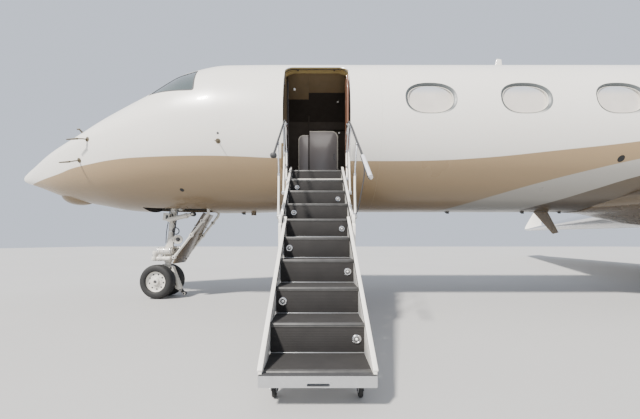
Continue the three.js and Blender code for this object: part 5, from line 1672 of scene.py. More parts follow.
for y in (-150, 0, 150):
    fixed.add(PANEL_BACK, slab([(170, 380), (186, 372), (592, 1226), (570, 1222)], "y", y - 6, y + 6))
fixed.add(SEAL, slab([(196, 372), (236, 392), (236, 560), (196, 540)], "y", 196, 214))
# retraction jack, its head and the bracket beside the barrel
jack_a, jack_b = (-27, -110, 1074), (409, -110, 1227)
fixed.add(GEAR_PAINT, stepped(jack_a, jack_b, [(36, 0), (44, 0.03), (44, 0.18), (39, 0.2), (39, 0.62),
                                               (44, 0.65), (44, 0.74), (30, 0.76), (30, 0.9),
                                               (38, 0.92), (38, 1)]))
fixed.add(SEAL, lathe([(0, -34), (34, -34), (40, -28), (40, 28), (34, 34), (0, 34)],
                      (395, -110, 1222), STARBOARD, 26))
fixed.add(GEAR_PAINT, rod((-27, -110, 1074), (0, 0, 1074), 34), box((-112, -132, 1056), (-10, -62, 1186)))
fixed.add(SEAL, box((-62, -139, 1084), (-22, -130, 1150)))
fixed.add(GEAR_PAINT, slab([(-60, 582), (92, 600), (70, 796), (52, 800)], "y", -74, -60))
# lamp beside the leg
lamp_foot, lamp_face = np.array((165.0, -60, 756)), np.array((190.0, -140, 756))
way = lamp_face - lamp_foot
fixed.add(GEAR_PAINT,
          rod((0, 0, 756), lamp_foot, 28),
          lathe([(0, 0), (46, 2), (68, 22), (78, 58), (78, 80), (70, 83), (64, 74), (38, 66), (0, 64)],
                lamp_foot, way, 36))
fixed.add(SEAL, lathe([(0, 66), (35, 68), (35, 72), (28, 76), (0, 78)], lamp_foot, way, 30))
# hoses of the leg
fixed.add(HOSE,
          ring_of((130, -118, 897), (0, 1, 0.1), 56, 9),
          pipe(tube_path([(60, -60, 700), (96, -92, 800), (78, -112, 900), (120, -118, 960),
                          (52, -84, 1060), (10, -70, 1180)], 12), 9, 12))
for y, x in ((-64, -44), (58, -50), (-20, 72)):
    line = tube_path([(x, y, 660), (x - 8, y * 1.1, 860), (x, y, 1080), (x + 6, y * 0.9, 1300)], 10)
    fixed.add(HOSE, pipe(line, 7, 10))
for z in (700, 880, 1060, 1240):
    fixed.add(STEEL, lathe([(53, -7), (61, -6), (61, 6), (53, 7)], (0, 0, z), UP, 32))
leg_parts = [(on_leg(geo), mat) for geo, mat in fixed]
piece("nose_leg_assembly", leg_parts, "airframe", ["nose_leg"], 1.2)

# open nose gear bay: liner with ribs, near black as painted shade in the recess
bay = Parts()
low, high, half, roof = BAY["low"], BAY["high"], BAY["half"], BAY["roof"]
for side in (-1, 1):
    bay.add(BAY_DARK, side_box(side, low + 4, high - 4, half - 3, half - 7, 1560, roof - 4))
    for s in range(low + 90, high - 60, 150):
        bay.add(BAY_DARK, side_box(side, s, s + 12, half - 7, half - 34, 1570, roof - 6))
bay.add(BAY_DARK, box((low + 4, -half + 4, roof - 8), (high - 4, half - 4, roof - 3)))
for s in range(low + 90, high - 60, 150):
    bay.add(BAY_DARK, box((s, -half + 8, roof - 36), (s + 12, half - 8, roof - 7)))
for y in (-210, 160):
    line = tube_path([(low + 40, y, roof - 60), (low + 500, y + 20, roof - 70), (high - 60, y, roof - 55)],
                     10)
    bay.add(HOSE, pipe(line, 9, 10))
piece("nose_bay_lining", bay, "airframe", bevel=1.0)

# Lifting surfaces


def thickness_at(share):
    """Half thickness of a symmetrical section at a share of its chord, per unit of thickness."""
    return 5 * (0.2969 * math.sqrt(share) - 0.126 * share - 0.3516 * share ** 2 + 0.2843 * share ** 3
                - 0.1036 * share ** 4)


# Rows of [y, z, leading edge, chord, thickness, cant in degrees]
WING = [(700, 1600, 11404, 5922, 680, 0), (13600, 1790, 18852, 1350, 135, 0)]
FULLNESS = 0.15
WINGLET = [(13600.3, 1790, 18852, 1350, 135, 0), (13840, 1835, 19000, 1215, 120, 38),
           (13990, 2060, 19190, 1040, 94, 70), (14205, 3090, 19960, 560, 45, 80)]
FIN = [(0, 3300, 19400, 6900, 345, 90), (0, 4150, 21750, 4550, 340, 90), (0, 7500, 24900, 2850, 240, 90)]
STABILIZER = [(0, 7620, 25300, 2750, 248, 0), (5360, 7620, 28445, 945, 80, 0)]
PYLON = [(600, 3180, 18650, 4000, 300, 0), (1700, 3180, 18950, 3500, 260, 0)]
FLAP = {"from": 1750, "to": 8600, "share": 0.8, "swing": 39, "cove": 13}
AILERON = {"from": 9050, "to": 12900, "share": 0.76, "swing": 22, "cove": 8}
RUDDER = {"from": 4300, "to": 7100, "share": 0.7, "swing": 22, "cove": 8}
ELEVATOR = {"from": 420, "to": 5000, "share": 0.68, "swing": 24, "cove": 8}
MOVING_GAP = 6
NOSE_SHARE = 0.98
TAPER_MARGIN = 1.2


def section_point(row, share, upper, side=1, fullness=0.0):
    y, z, leading, chord, thickness, cant = row
    half = thickness_at(share) * thickness * (1 + fullness if upper else fullness - 1)
    c, s = math.cos(math.radians(cant)), math.sin(math.radians(cant))
    return leading + share * chord, side * (y - s * half), z + c * half


def surface_loft(rows, side=1, fullness=0.0, steps=34):
    rings = []
    for row in rows:
        shares = [(1 + math.cos(math.pi * i / steps)) / 2 for i in range(2 * steps)]
        rings.append([section_point(row, t, i < steps, side, fullness) for i, t in enumerate(shares)])
    return loft(rings)


def row_at(rows, column, value):
    i = 1
    while i < len(rows) - 1 and rows[i][column] < value:
        i += 1
    low, high = rows[i - 1], rows[i]
    share = (value - low[column]) / (high[column] - low[column])
    return [a + (b - a) * share for a, b in zip(low, high)]


def smooth_rows(rows, along, count):
    """Rows between the given ones, every column on a smooth curve over the list along."""
    x = np.array(along, float)
    columns = np.array(rows, float).T
    tangents = [slopes(x, col) for col in columns]
    places = [span_of(x, value) for value in np.linspace(x[0], x[-1], count)]
    return [tuple(bend(col, m, *at) for col, m in zip(columns, tangents)) for at in places]


def hinge_point(spec, span):
    row = row_at(spec["rows"], spec["column"], span)
    half = thickness_at(spec["share"]) * row[4]
    at = (row[2] + spec["share"] * row[3], spec["side"] * row[0], row[1] + spec.get("fullness", 0) * half)
    return at, half, row[3]


def hinge_lean(spec):
    """Share of the hinge line's length that runs aft, and its unit along the span."""
    a, b = np.array(hinge_point(spec, spec["from"])[0]), np.array(hinge_point(spec, spec["to"])[0])
    line = (b - a) / np.linalg.norm(b - a)
    return line[0], line


def hinge_ring(spec, span, radius, back):
    """Outline of the slot round a hinge: a round nose ahead of it, open behind."""
    at, half, chord = hinge_point(spec, span)
    stretch = 1 / math.sqrt(1 - hinge_lean(spec)[0] ** 2)
    turns = [math.radians(90 + 180 * k / 20) for k in range(21)]
    arc = [(radius * stretch * math.cos(t), radius * math.sin(t)) for t in turns]
    ring = [(back, 600), (0, 600)] + arc + [(0, -600), (back, -600)]
    if spec["column"] == 0:
        return [(at[0] + a, at[1], at[2] + b) for a, b in ring]
    return [(at[0] + a, b, at[2]) for a, b in ring]


def slot_cut(spec):
    chords = [hinge_point(spec, spec[end])[2] for end in ("from", "to")]
    reach = 1.2 * (1 - spec["share"]) * max(chords)
    rings = []
    for end in ("from", "to"):
        half = hinge_point(spec, spec[end])[1]
        rings.append(hinge_ring(spec, spec[end], half + spec["cove"], reach))
    return loft(rings)


def control(spec, steps=18):
    """Moving surface behind its hinge line, with a round nose and room at both ends."""
    lean, line = hinge_lean(spec)
    swing = math.radians(spec["swing"])
    fullness = spec.get("fullness", 0.0)
    room = {}
    for end in ("from", "to"):
        half = hinge_point(spec, spec[end])[1]
        room[end] = MOVING_GAP + 2 * lean * half * math.sin(swing / 2)
    spans = (spec["from"] + room["from"], spec["to"] - room["to"])
    chords = [hinge_point(spec, span)[2] for span in spans]
    reach = 1.2 * (1 - spec["share"]) * max(chords)
    flat = 1 if spec["column"] == 0 else 2
    sweep = abs(lean * line[flat])
    taper = TAPER_MARGIN * sweep * (1 - math.cos(swing)) * reach
    stretch = 1 / math.sqrt(1 - lean ** 2)
    shares = [spec["share"] + (1 - spec["share"]) * (1 - math.cos(math.pi / 2 * k / steps)) for k in
              range(1, steps + 1)][::-1]
    rings = []
    for which, span in enumerate(spans):
        at, half, chord = hinge_point(spec, span)

        def on_surface(share, upper):
            back = (share - spec["share"]) * chord
            value = span - (taper * back / reach if which else 0.0)
            row = row_at(spec["rows"], spec["column"], value)
            return section_point(row, share, upper, spec["side"], fullness)

        ring = [on_surface(t, True) for t in shares]
        for k in range(15):
            t = math.radians(90 + 180 * k / 14)
            a, b = half * NOSE_SHARE * stretch * math.cos(t), half * NOSE_SHARE * math.sin(t)
            if spec["column"] == 0:
                ring.append((at[0] + a, at[1], at[2] + b))
            else:
                ring.append((at[0] + a, -b, at[2]))
        ring += [on_surface(t, False) for t in shares[::-1][:-1]]
        rings.append(ring)
    parts = [loft(rings)]
    for end, way in (("from", 1), ("to", -1)):
        at = np.array(hinge_point(spec, spec[end])[0])
        parts.append(rod(at + line * way * 3, at + line * way * 70, 8, segments=14))
    return parts


def near_leading(rows, column, limit):
    def test(s, y, z):
        span = abs(y) if column == 0 else z
        row = row_at(rows, column, span)
        return (s - row[2]) / row[3] < limit
    return test


def lifting_paint(name, rows, column, ribs, shares):
    """White paint with fine seams along the spars and the ribs."""
    g = Graph(name)
    x, y, z = g.xyz()
    span = g.math("ABSOLUTE", y) if column == 0 else z
    station = g.math("ADD", x, LENGTH / 2000.0)
    low, high = rows[-2], rows[-1]
    a, b = low[column] / 1000.0, high[column] / 1000.0
    leading = g.between(span, a, b, low[2] / 1000.0, high[2] / 1000.0)
    chord = g.between(span, a, b, low[3] / 1000.0, high[3] / 1000.0)
    back = g.math("SUBTRACT", station, leading)
    spars = g.seams(back, [g.math("MULTIPLY", chord, share) for share in shares], 0.0024)
    seam = g.math("MAXIMUM", spars, g.seams(span, ribs, SEAM_HALF))
    tint = g.patchy(g.noise(1.1, 4.0, 0.6))
    base = g.mix(tint, tuple(c * 0.95 for c in WHITE_RGB), WHITE_RGB)
    color = g.mix(g.math("MULTIPLY", seam, 0.35), base, SEAM_RGB)
    sheen = g.patchy(g.noise(2.3, 3.0), 0.22, 0.30)
    normal = g.bump(g.noise(2.4, 1.0, 0.4), 0.0012, 0.3)
    return g.done(color, sheen, 0.0, normal, coat=0.3, coat_rough=0.06)


WING_PAINT = lifting_paint("wing_paint", WING, 0, [2.4, 3.6, 5.0, 6.6, 8.2, 9.8, 11.4, 12.9], [0.13, 0.62])
FIN_PAINT = lifting_paint("fin_paint", FIN, 1, [4.25, 5.3, 6.3, 7.2], [0.12, 0.6])
TAIL_PAINT = lifting_paint("tailplane_paint", STABILIZER, 0, [0.42, 1.6, 2.9, 4.2], [0.12, 0.6])
WICK = plain("static_wick", (0.03, 0.03, 0.03), 0.6, spread=0.2, scale=60.0)
LIP = plain("polished_lip", (0.78, 0.78, 0.79), 0.12, 1.0, spread=0.04, scale=3.0)


def wicks(spec, count, side, length=110):
    """Thin static wicks behind the trailing edge of a control surface."""
    out = Parts()
    for k in range(count):
        span = spec["from"] + (spec["to"] - spec["from"]) * (k + 0.7) / (count + 0.4)
        row = row_at(spec["rows"], spec["column"], span)
        tip = np.array(section_point(row, 1.0, True, side))
        out.add(WICK, rod(tip + (-30, 0, 0), tip + (length, 0, 0), 2.6, 1.2, 8))
    return out


for side, word in SIDES:
    place = {"rows": WING, "column": 0, "side": side, "fullness": FULLNESS}
    flap, aileron = {**place, **FLAP}, {**place, **AILERON}
    wing = shown(f"wing_{word}_skin", [(surface_loft(WING, side, FULLNESS), WING_PAINT)])
    booleans(wing, [slot_cut(flap), slot_cut(aileron)])
    paint_faces(wing, LIP, near_leading(WING, 0, 0.045))
    finish(wing, "airframe", [f"wing_{word}"])
    piece(f"flap_{word}_skin", [(geo, WING_PAINT) for geo in control(flap)],
          f"{word}_flap", [f"flap_{word}"],
          angle=40)
    piece(f"aileron_{word}_skin", [(geo, WING_PAINT) for geo in control(aileron)] + wicks(aileron, 3, side),
          f"{word}_aileron", [f"aileron_{word}"], angle=40)
    winglet_rows = smooth_rows(WINGLET, [0, 245, 515, 1570], 26)
    winglet = shown(f"winglet_{word}_skin", [(surface_loft(winglet_rows, side, FULLNESS), WHITE_PAINT)])
    finish(winglet, "airframe", [f"winglet_{word}"])
    extras = [(rod((15200, side * 3000, 1351), (15200, side * 3000, 1620), 45, segments=28, soft=0.12),
               ALLOY)]
    tip_line = [section_point(row_at(WING, 0, v), 0.012, True, side, FULLNESS)
                for v in (13330, 13420, 13500, 13590)]
    extras.append((pipe(tip_line, 13, 16), RED_LAMP if side < 0 else GREEN_LAMP))
    piece(f"wing_{word}_fittings", extras, "airframe")

# fin, with its leading edge eased into the dorsal fillet
fin_rows = []
for z in list(range(3300, 4900, 80)) + [5200, 5800, 6500, 7500]:
    row = row_at(FIN, 1, z)
    reach = max(0.0, 1 - abs(z - 4150) / 420)
    row[2] += 150 * reach ** 2
    row[3] -= 150 * reach ** 2
    fin_rows.append(row)
fin = shown("fin_skin", [(surface_loft(fin_rows), FIN_PAINT)])
rudder = {"rows": FIN, "column": 1, "side": 1, **RUDDER}
booleans(fin, [slot_cut(rudder)])
paint_faces(fin, LIP, lambda s, y, z: z > 4700 and near_leading(FIN, 1, 0.035)(s, y, z))
finish(fin, "airframe", ["fin"])
piece("rudder_skin", [(geo, FIN_PAINT) for geo in control(rudder)], "rudder_surface",
      ["rudder"],
      angle=40)

BULLET_LINE = [(0, 0), (110, 300), (215, 900), (250, 1800), (205, 2900), (90, 3800), (0, 4200)]
bullet_x = np.array([x for r, x in BULLET_LINE], float)
bullet_r = np.array([r for r, x in BULLET_LINE], float)
bullet_m = slopes(bullet_x, bullet_r)
bullet_m[0] *= 2.2
bullet_steps = [4200 * (k / 60) ** 1.6 for k in range(61)]
bullet = [(max(bend(bullet_r, bullet_m, *span_of(bullet_x, x)), 0.5), x) for x in bullet_steps]
tail = shown("tail_bullet", [(lathe(bullet, (24700, 0, 7620), AFT, 56), WHITE_PAINT)])
finish(tail, "airframe", ["stabilizer"])
for side, word in SIDES:
    spec = {"rows": STABILIZER, "column": 0, "side": side, **ELEVATOR}
    plane = shown(f"stabilizer_{word}_skin", [(surface_loft(STABILIZER, side), TAIL_PAINT)])
    booleans(plane, [slot_cut(spec)])
    paint_faces(plane, LIP, near_leading(STABILIZER, 0, 0.05))
    finish(plane, "airframe", ["stabilizer"])
    piece(f"elevator_{word}_skin", [(geo, TAIL_PAINT) for geo in control(spec)] + wicks(spec, 3, side),
          f"{word}_elevator", [f"elevator_{word}"], angle=40)

# Engines

NACELLE = {"front": 17900, "y": 2050, "z": 3180}
NACELLE_LINE = [(603, 70), (612, 26), (625, 6), (640, 0), (661, 2), (683, 9), (700, 20),
                (724, 58), (748, 120),
                (771, 260), (790, 500), (801, 860), (806, 1300), (804, 1900), (792, 2700),
                (758, 3450), (700, 4200),
                (634, 4700), (560, 5200), (553, 5206), (546, 5204), (540, 5190), (570, 4700),
                (600, 4200), (628, 3500),
                (640, 2900), (640, 1500), (634, 1150), (625, 900), (606, 600), (594, 480),
                (592, 400), (593, 300), (597, 180), (600, 110)]
ENGINE_LINE = [(0, 1256), (280, 1256), (280, 1600), (639, 1600), (639, 1800), (470, 1830),
               (430, 1900), (430, 3900),
               (400, 4160), (330, 4380), (250, 4500), (246, 4500), (240, 4420), (200, 4430),
               (170, 4560), (110, 4800), (50, 5040), (0, 5150)]
SPINNER_LINE = [(0, 700), (34, 712), (64, 734), (90, 760), (120, 800), (146, 846), (170, 900),
                (196, 968), (210, 1010), (218, 1050), (218, 1200), (100, 1205), (100, 1249), (0, 1249)]
FAN = {"blades": 14, "at": 1110, "root": 205, "reach": 407}


def fan_blade(index):
    """Wide blade, twisted more toward its tip and hollowed a little on its front face."""
    turn = index / FAN["blades"] * 2 * math.pi
    outward = np.array((0, math.sin(turn), math.cos(turn)))
    round_ = np.array((0, math.cos(turn), -math.sin(turn)))
    rings = []
    for k in range(13):
        t = k / 12
        radius = FAN["root"] + FAN["reach"] * t
        twist = math.radians(36 + 24 * t)
        chord = 130 + 62 * math.sin(math.pi * min(1.0, 0.15 + 0.75 * t))
        lean = -18 * math.sin(math.pi * t)
        ring = []
        count = 10
        for i in range(2 * count):
            upper = i < count
            share = (1 + math.cos(math.pi * i / count)) / 2
            along = (share - 0.5) * chord
            thick = (11 - 6 * t) * math.sqrt(max(0.0, 1 - (2 * share - 1) ** 2)) * 0.5
            camber = 0.07 * chord * (1 - (2 * share - 1) ** 2)
            across_ = camber + (thick if upper else -thick)
            x = FAN["at"] + lean + along * math.cos(twist) - across_ * math.sin(twist)
            sweep = along * math.sin(twist) + across_ * math.cos(twist)
            point = outward * radius + round_ * sweep
            ring.append((x, point[1], point[2]))
        rings.append(ring)
    return loft(rings)


def swirl(turns=0.72, steps=40):
    """Narrow spiral mark on the spinner, as a band that lies on its surface."""
    line_x = [x for r, x in SPINNER_LINE[:10]]
    line_r = [r for r, x in SPINNER_LINE[:10]]
    rings = []
    for k in range(steps + 1):
        t = k / steps
        width = 26 * math.sin(math.pi * min(1.0, 0.08 + 0.92 * t)) + 3
        ring = []
        for side_, lift in ((-1, 1.3), (1, 1.3), (1, -2.0), (-1, -2.0)):
            x = 742 + 235 * t + side_ * width / 2
            r = np.interp(x, line_x, line_r) + lift
            a = 2 * math.pi * turns * t
            ring.append((x, r * math.sin(a), r * math.cos(a)))
        rings.append(ring)
    return loft(rings)


def vane(index, count, r0, r1, x, chord, lean):
    turn = index / count * 2 * math.pi
    outward = np.array((0, math.sin(turn), math.cos(turn)))
    round_ = np.array((0, math.cos(turn), -math.sin(turn)))
    rings = []
    for radius in (r0, r1):
        ring = []
        for along, thick in ((-0.5, 0), (-0.3, 3.2), (0.1, 3.4), (0.5, 0), (0.1, -1.0), (-0.3, -1.4)):
            p = outward * radius + round_ * (along * chord * math.sin(lean) + thick * math.cos(lean))
            ring.append((x + along * chord * math.cos(lean) - thick * math.sin(lean), p[1], p[2]))
        rings.append(ring)
    return loft(rings)


NACELLE_PAINT = plain("nacelle_paint", WHITE_RGB, 0.24, coat=0.3, spread=0.05, scale=1.4)
for side, word in SIDES:
    at = (NACELLE["front"], side * NACELLE["y"], NACELLE["z"])
    shell = shown(f"nacelle_{word}_shell", [(lathe(NACELLE_LINE, at, AFT, 96, closed=True), NACELLE_PAINT)])
    paint_faces(shell, LIP, lambda s, y, z: s < at[0] + 190)
    finish(shell, "airframe", [f"nacelle_{word}"], 30)
    seams = Parts()
    for x, r in ((200, 763.5), (1180, 804.8), (3100, 776.5), (4480, 663.5)):
        seams.add(SEAL, lathe([(r - 4, x - 2.4), (r + 1.2, x - 2.4), (r + 1.0, x + 2.4), (r - 4, x + 2.4)],
                              at, AFT, 96, closed=True))
    # liner band in the intake, with its fine steel edges
    seams.add(ALLOY, lathe([(600.5, 480), (626, 905), (634, 905), (608, 480)], at, AFT, 72, closed=True))
    piece(f"nacelle_{word}_trim", seams, "airframe")
    core = Parts([(lathe(ENGINE_LINE, at, AFT, 64), EXHAUST)])
    for k in range(28):
        core.add(ALLOY, moved(vane(k, 28, 270, 641, 1480, 150, 0.32), at))
    core.add(ALLOY, lathe([(281, 1402), (292, 1402), (292, 1590), (281, 1590)], at, AFT, 64, closed=True))
    # lobes of the mixer round the core's outlet
    for k in range(12):
        a = k / 12 * 2 * math.pi
        c0 = np.array((4160, 395 * math.sin(a), 395 * math.cos(a)))
        c1 = np.array((4560, 300 * math.sin(a), 300 * math.cos(a)))
        core.add(EXHAUST, moved(pipe([c0, (c0 + c1) / 2 + np.array((0, 14 * math.sin(a),
                                                                    14 * math.cos(a))), c1], 42, 14), at))
    piece(f"engine_{word}_core", core, "airframe", [f"engine_{word}"], angle=32)
    fan = Parts([(moved(lathe(SPINNER_LINE, (0, 0, 0), AFT, 56), at), GEAR_PAINT)])
    fan += [(moved(fan_blade(k), at), TITANIUM) for k in range(FAN["blades"])]
    fan.add(SEAL, moved(swirl(), at))
    piece(f"fan_{word}_rotor", fan, f"{word}_fan", [f"fan_{word}"], angle=50)
    pylon = shown(f"pylon_{word}_skin", [(surface_loft(PYLON, side), NACELLE_PAINT)])
    booleans(pylon, [lathe([(0, 0), (690, 1), (700, 5300), (0, 5301)], at, AFT, 48)])
    paint_faces(pylon, LIP, near_leading(PYLON, 0, 0.04))
    finish(pylon, "airframe", [f"pylon_{word}"])

# Belly fairing, blades and small fittings of the hull

FAIRING = [(9700, 470, 1496, 1700, 230, 0.90), (10300, 860, 1484, 1700, 280, 0.90),
           (10900, 1080, 1385, 1700, 330, 0.88),
           (11500, 1260, 1280, 1690, 370, 0.82), (12300, 1400, 1220, 1680, 400, 0.76),
           (13300, 1400, 1205, 1680, 400, 0.72),
           (16400, 1400, 1200, 1680, 400, 0.72), (18000, 1120, 1300, 1720, 350, 0.72),
           (19600, 520, 1600, 1860, 200, 0.72)]


def fairing_rings():
    rows = smooth_rows(FAIRING, [row[0] for row in FAIRING], 96)
    rings = []
    for station, half, bottom, middle, rise, power in rows:
        ring = []
        for i in range(72):
            angle = i / 72 * 2 * math.pi
            c, s = math.cos(angle), math.sin(angle)
            height = rise if c > 0 else middle - bottom
            ring.append((station, half * math.copysign(abs(s) ** power, s),
                         middle + height * math.copysign(abs(c) ** power, c)))
        rings.append(ring)
    return rings


# the fairing in the darker tan: painted shade
fairing = shown("belly_fairing_skin", [(loft(fairing_rings()), SHADED_TAN_PAINT)])
booleans(fairing, [hull_loft(9000, 20500, 0.6)])
finish(fairing, "airframe", ["belly_fairing"], 40)

TOP_BLADE = [(8255, 3860), (8465, 3860), (8435, 4205), (8350, 4215)]
BELLY_BLADE = [(8960, 1540), (9238, 1540), (9450, 1140), (9345, 1112)]


def blade_fin(outline, thick=17.0):
    """Blade antenna: an airfoil section lofted from the root's chord to the tip's."""
    (a, za), (b, zb), (c, zc), (d, zd) = outline
    rings = []
    for t in (0.0, 0.5, 0.9, 0.97, 1.0):
        fore, aft = a + (d - a) * t, b + (c - b) * t
        zf, zr = za + (zd - za) * t, zb + (zc - zb) * t
        slim = 1.0 if t < 0.95 else (0.8 if t < 1 else 0.4)
        ring = []
        for i in range(28):
            share = (1 + math.cos(math.pi * i / 14)) / 2
            y = thick * slim * thickness_at(share) * (1 if i < 14 else -1)
            ring.append((fore + (aft - fore) * share, y, zf + (zr - zf) * share))
        rings.append(ring)
    return loft(rings)


def foot_plate(station, length, width, upper):
    """Thin oval base of an antenna on the middle plane of the hull."""
    rings = []
    for lift, grow in ((-6, 1.0), (2.0, 1.0), (3.5, 0.93)):
        ring = []
        for i in range(36):
            a = 2 * math.pi * i / 36
            s = station + length / 2 * grow * math.cos(a)
            y = width / 2 * grow * math.sin(a)
            top = skin_z(s, y, upper)
            ring.append((s, y, top + (lift if upper else -lift)))
        rings.append(ring)
    return loft(rings)


# the belly blade and the round fitting in the darker tan: painted shade
small = Parts([(blade_fin(TOP_BLADE), WHITE_PAINT), (foot_plate(8360, 250, 46, True), GASKET),
               (blade_fin(BELLY_BLADE), SHADED_TAN_PAINT), (foot_plate(9100, 340, 46, False), SEAL),
               (rod((4050, 0, 1441), (4050, 0, 1500), 45, segments=28, soft=0.12), SHADED_TAN_PAINT)])
# low dark antennas along the belly
for s, length, depth in ((3857, 96, 32), (7455, 100, 34), (8784, 96, 34), (9440, 90, 30)):
    base = skin_z(s, 0, False)
    small.add(SEAL, blade_fin([(s - length / 2, base + 12), (s + length / 2, base + 12),
                               (s + length / 2 + 4, base - depth), (s + length * 0.05, base - depth)],
                              10.0))
# beacon lamps above and below
for z, way, s in ((3893, 1, 13000), (1201, -1, 14300)):
    small.add(ALLOY, lathe([(52, 0), (52, 6), (42, 10), (0, 10)], (s, 0, z), (0, 0, way), 32))
    small.add(RED_LAMP, lathe([(40, 8), (38, 26), (30, 42), (16, 51), (0, 54)], (s, 0, z), (0, 0, way), 32))
piece("hull_antennas", small, "airframe", angle=42)


def skin_plate(station, z, side, profile, mat, segments):
    """Round plate on the skin, spun about the skin's normal."""
    at = on_skin(station, z, side)
    return lathe(profile, at, skin_normal(*at), segments), mat


def probe(station, z, side, reach=88, drop=-22):
    """Pitot probe: a short strut out of the skin with a tube pointing forward."""
    foot = np.array(on_skin(station, z, side, -8))
    out = np.array(skin_normal(*on_skin(station, z, side)))
    elbow = foot + out * reach + np.array((-66, 0, drop))
    return [skin_plate(station, z, side, [(36, -6), (36, 3), (28, 5.5), (0, 5.5)], OLIVE, 28),
            (pipe([foot, foot + out * reach * 0.55 + np.array((-24, 0, drop * 0.4)), elbow], 14, 14, 0.6),
             OLIVE),
            (rod(elbow + (14, 0, 0), elbow + (-150, 0, -12), 14, 9, 18, 0.3), OLIVE)]


def short_probe(station, z, side):
    """Air temperature probe standing straight out of the skin."""
    foot = np.array(on_skin(station, z, side, -6))
    out = np.array(skin_normal(*on_skin(station, z, side)))
    tip = foot + out * 64
    return [skin_plate(station, z, side, [(22, -6), (22, 2), (16, 4), (0, 4)], OLIVE, 24),
            (rod(foot, tip, 15, 9), OLIVE), (rod(tip + (-30, 0, 0), tip + (16, 0, 0), 12, 11), OLIVE)]


def vane_probe(station, z, side):
    """Air data cone standing out of a round plate."""
    at = np.array(on_skin(station, z, side))
    out = np.array(skin_normal(*at))
    return [skin_plate(station, z, side, [(34, -6), (34, 2.5), (28, 4.5), (0, 4.5)], OLIVE, 30),
            (rod(at + out * 2, at + out * 128, 9, 5), OLIVE)]


fittings = Parts()
for side in (-1, 1):
    fittings += probe(1781, 2484, side) + probe(1583, 2201, side)
    fittings += vane_probe(3808, 2355, side)
    # small vent above the air data cone
    fittings.append(skin_plate(3812, 2455, side, [(16, -6), (16, 1.2), (12, 2.0), (0, 2.2)], SEAL, 24))
    fittings += short_probe(1549, 2657, side)
    # flush static port, and a dark fitting beside the nose bay
    fittings.append(skin_plate(9426, 2139, side, [(48, -6), (48, 1.4), (42, 2.2), (0, 2.6)], RUBBER, 30))
    fittings.append(skin_plate(3122, 1758, side, [(32, -6), (32, 1.4), (26, 2.4), (0, 2.6)], RUBBER, 26))
piece("hull_probes", fittings, "airframe", angle=40)

# Main gear

MAIN = {"station": 16200, "y": 2185, "hub": 444.5, "offset": 212, "width": 280, "rim": 222}
for side, word in SIDES:
    s, y, hub = MAIN["station"], side * MAIN["y"], MAIN["hub"]
    wheels = Parts()
    for out in (-1, 1):
        centre = (s, y + out * MAIN["offset"], hub)
        wheels += wheel_parts(centre, out, hub, MAIN["width"], MAIN["rim"])
        # brake pack inside each rim
        wheels.add(TITANIUM, lathe([(60, -70), (168, -66), (172, -20), (60, -16)], centre,
                                   (0, out, 0), 40, closed=True))
    wheels.add(STEEL, rod((s, y - 330, hub), (s, y + 330, hub), 47, segments=28, soft=0.1))
    piece(f"main_wheel_pair_{word}", wheels, f"{word}_main_wheels", [f"main_wheels_{word}"],
          angle=38)
    leg = Parts([(rod((s, y, hub), (s, y, 962), 55, segments=32, soft=0.04), CHROME),
                 (lathe([(0, 0), (88, 0), (98, 8), (98, 60), (92, 68), (92, 300), (99, 312), (99, 380),
                         (93, 390), (93, 680), (0, 680)], (s, y, 956), UP, 40), GEAR_PAINT),
                 (lathe([(50, -60), (88, -58), (92, -50), (92, 50), (88, 58), (50, 60)],
                        (s, y, hub), STARBOARD, 36,
                        closed=True), GEAR_PAINT),
                 (lathe([(56, 0), (74, 0), (80, 12), (78, 60), (60, 80), (56, 80)], (s, y, 520), UP, 32,
                        closed=True), GEAR_PAINT),
                 (rod((s, y, 1150), (s, side * (MAIN["y"] - 560), 1640), 38, segments=24), GEAR_PAINT),
                 (rod((s - 60, y, 1080), (s - 520, y, 1640), 34, segments=24), GEAR_PAINT),
                 (rod((s, y, 1120), (s, side * (MAIN["y"] + 166), 1120), 28, segments=20), GEAR_PAINT)])
    # torque links behind the piston
    for a, b in (((s + 88, 990), (s + 300, 760)), ((s + 300, 760), (s + 78, 560))):
        leg.add(GEAR_PAINT, link((a[0], a[1]), (b[0], b[1]), 30, 22, 44 if a[1] > 900 else 34, y))
    for aft, z, half in ((300, 760, 40), (88, 990, 44), (78, 560, 44)):
        leg.add(STEEL, rod((s + aft, y - half, z), (s + aft, y + half, z), 17))
    plate = side * (MAIN["y"] + 170)
    door = [(s - 240, 960), (s + 240, 960), (s + 240, 1600), (s - 240, 1600)]
    leg.add(WHITE_PAINT, slab(soft_corners(door, 50), "y", plate - 12, plate + 12))
    inner = side * plate - 12
    for x in (-150, 0, 150):
        leg.add(GEAR_PAINT, side_box(side, s + x - 7, s + x + 7, inner, inner - 34, 990, 1590))
    for dx, dy in ((-70, 30), (60, -52)):
        line = tube_path([(s + dx, y + dy, 1590), (s + dx * 1.35, y + dy * 1.2, 1300),
                          (s + dx * 1.25, y + dy, 1050),
                          (s + dx * 1.6, y + dy * 1.8, 780), (s + dx * 1.1, y + dy * 1.6, 520)], 10)
        leg.add(HOSE, pipe(line, 7, 10))
    for z in (1010, 1230, 1420):
        leg.add(STEEL, lathe([(92, -7), (100, -6), (100, 6), (92, 7)], (s, y, z), UP, 32, closed=True))
    piece(f"main_leg_{word}_assembly", leg, "airframe", [f"main_leg_{word}"], 1.4)


# Floor, sky and lights

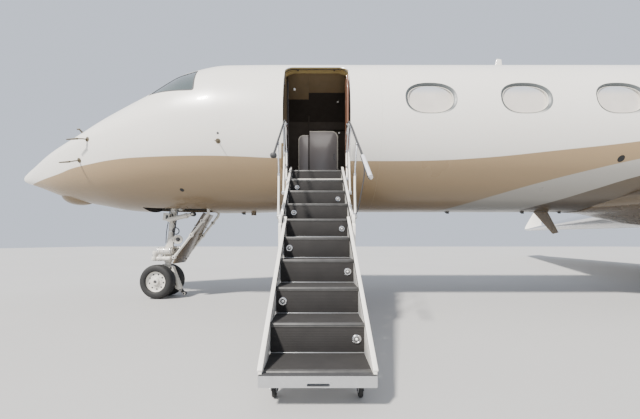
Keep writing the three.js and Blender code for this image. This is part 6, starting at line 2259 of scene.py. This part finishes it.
FLOOR_REACH, FLOOR_Z = 60, -0.002
FLOOR_RGB = (0.47, 0.465, 0.455)
SKY = {"color": (0.80, 0.87, 1.0, 1.0), "strength": 1.0}
SUN = {"energy": 9.0, "spread": 5, "color": (1.0, 0.96, 0.90), "tilt": 43, "turn": -40}
LAMP_PANEL = {"size": (0.9, 0.5), "energy": 8.0, "color": (1.0, 0.95, 0.9), "y": -0.15,
              "z": 3.70, "tilt": 28}

corners = [(x * FLOOR_REACH, y * FLOOR_REACH, FLOOR_Z) for x, y in ((-1, -1), (1, -1), (1, 1), (-1, 1))]
floor_mesh = bpy.data.meshes.new("floor")
floor_mesh.from_pydata(corners, [], [(0, 1, 2, 3)])
floor_mesh.materials.append(plain("pale_floor", FLOOR_RGB, 0.75, spread=0.05, scale=0.3, depth=0.001))
floor = show(floor_mesh, "floor")
world = bpy.data.worlds.new("studio")
bpy.context.scene.world = world
world.use_nodes = True
sky = world.node_tree.nodes["Background"]
sky.inputs["Color"].default_value = SKY["color"]
sky.inputs["Strength"].default_value = SKY["strength"]
sun_data = bpy.data.lights.new("sun", "SUN")
sun_data.energy = SUN["energy"]
sun_data.angle = math.radians(SUN["spread"])
sun_data.color = SUN["color"]
sun = bpy.data.objects.new("sun", sun_data)
sun.rotation_euler = (math.radians(SUN["tilt"]), 0, math.radians(SUN["turn"]))
bpy.context.collection.objects.link(sun)

# soft light under the vestibule ceiling
vestibule_light = bpy.data.lights.new("vestibule_light", "AREA")
vestibule_light.shape = "RECTANGLE"
vestibule_light.size, vestibule_light.size_y = LAMP_PANEL["size"]
vestibule_light.energy = LAMP_PANEL["energy"]
vestibule_light.color = LAMP_PANEL["color"]
ceiling_light = bpy.data.objects.new("vestibule_light", vestibule_light)
ceiling_light.location = ((DS - LENGTH / 2) / 1000, LAMP_PANEL["y"], LAMP_PANEL["z"])
ceiling_light.rotation_euler = (math.radians(LAMP_PANEL["tilt"]), 0, 0)
ceiling_light.visible_camera = False
bpy.context.collection.objects.link(ceiling_light)
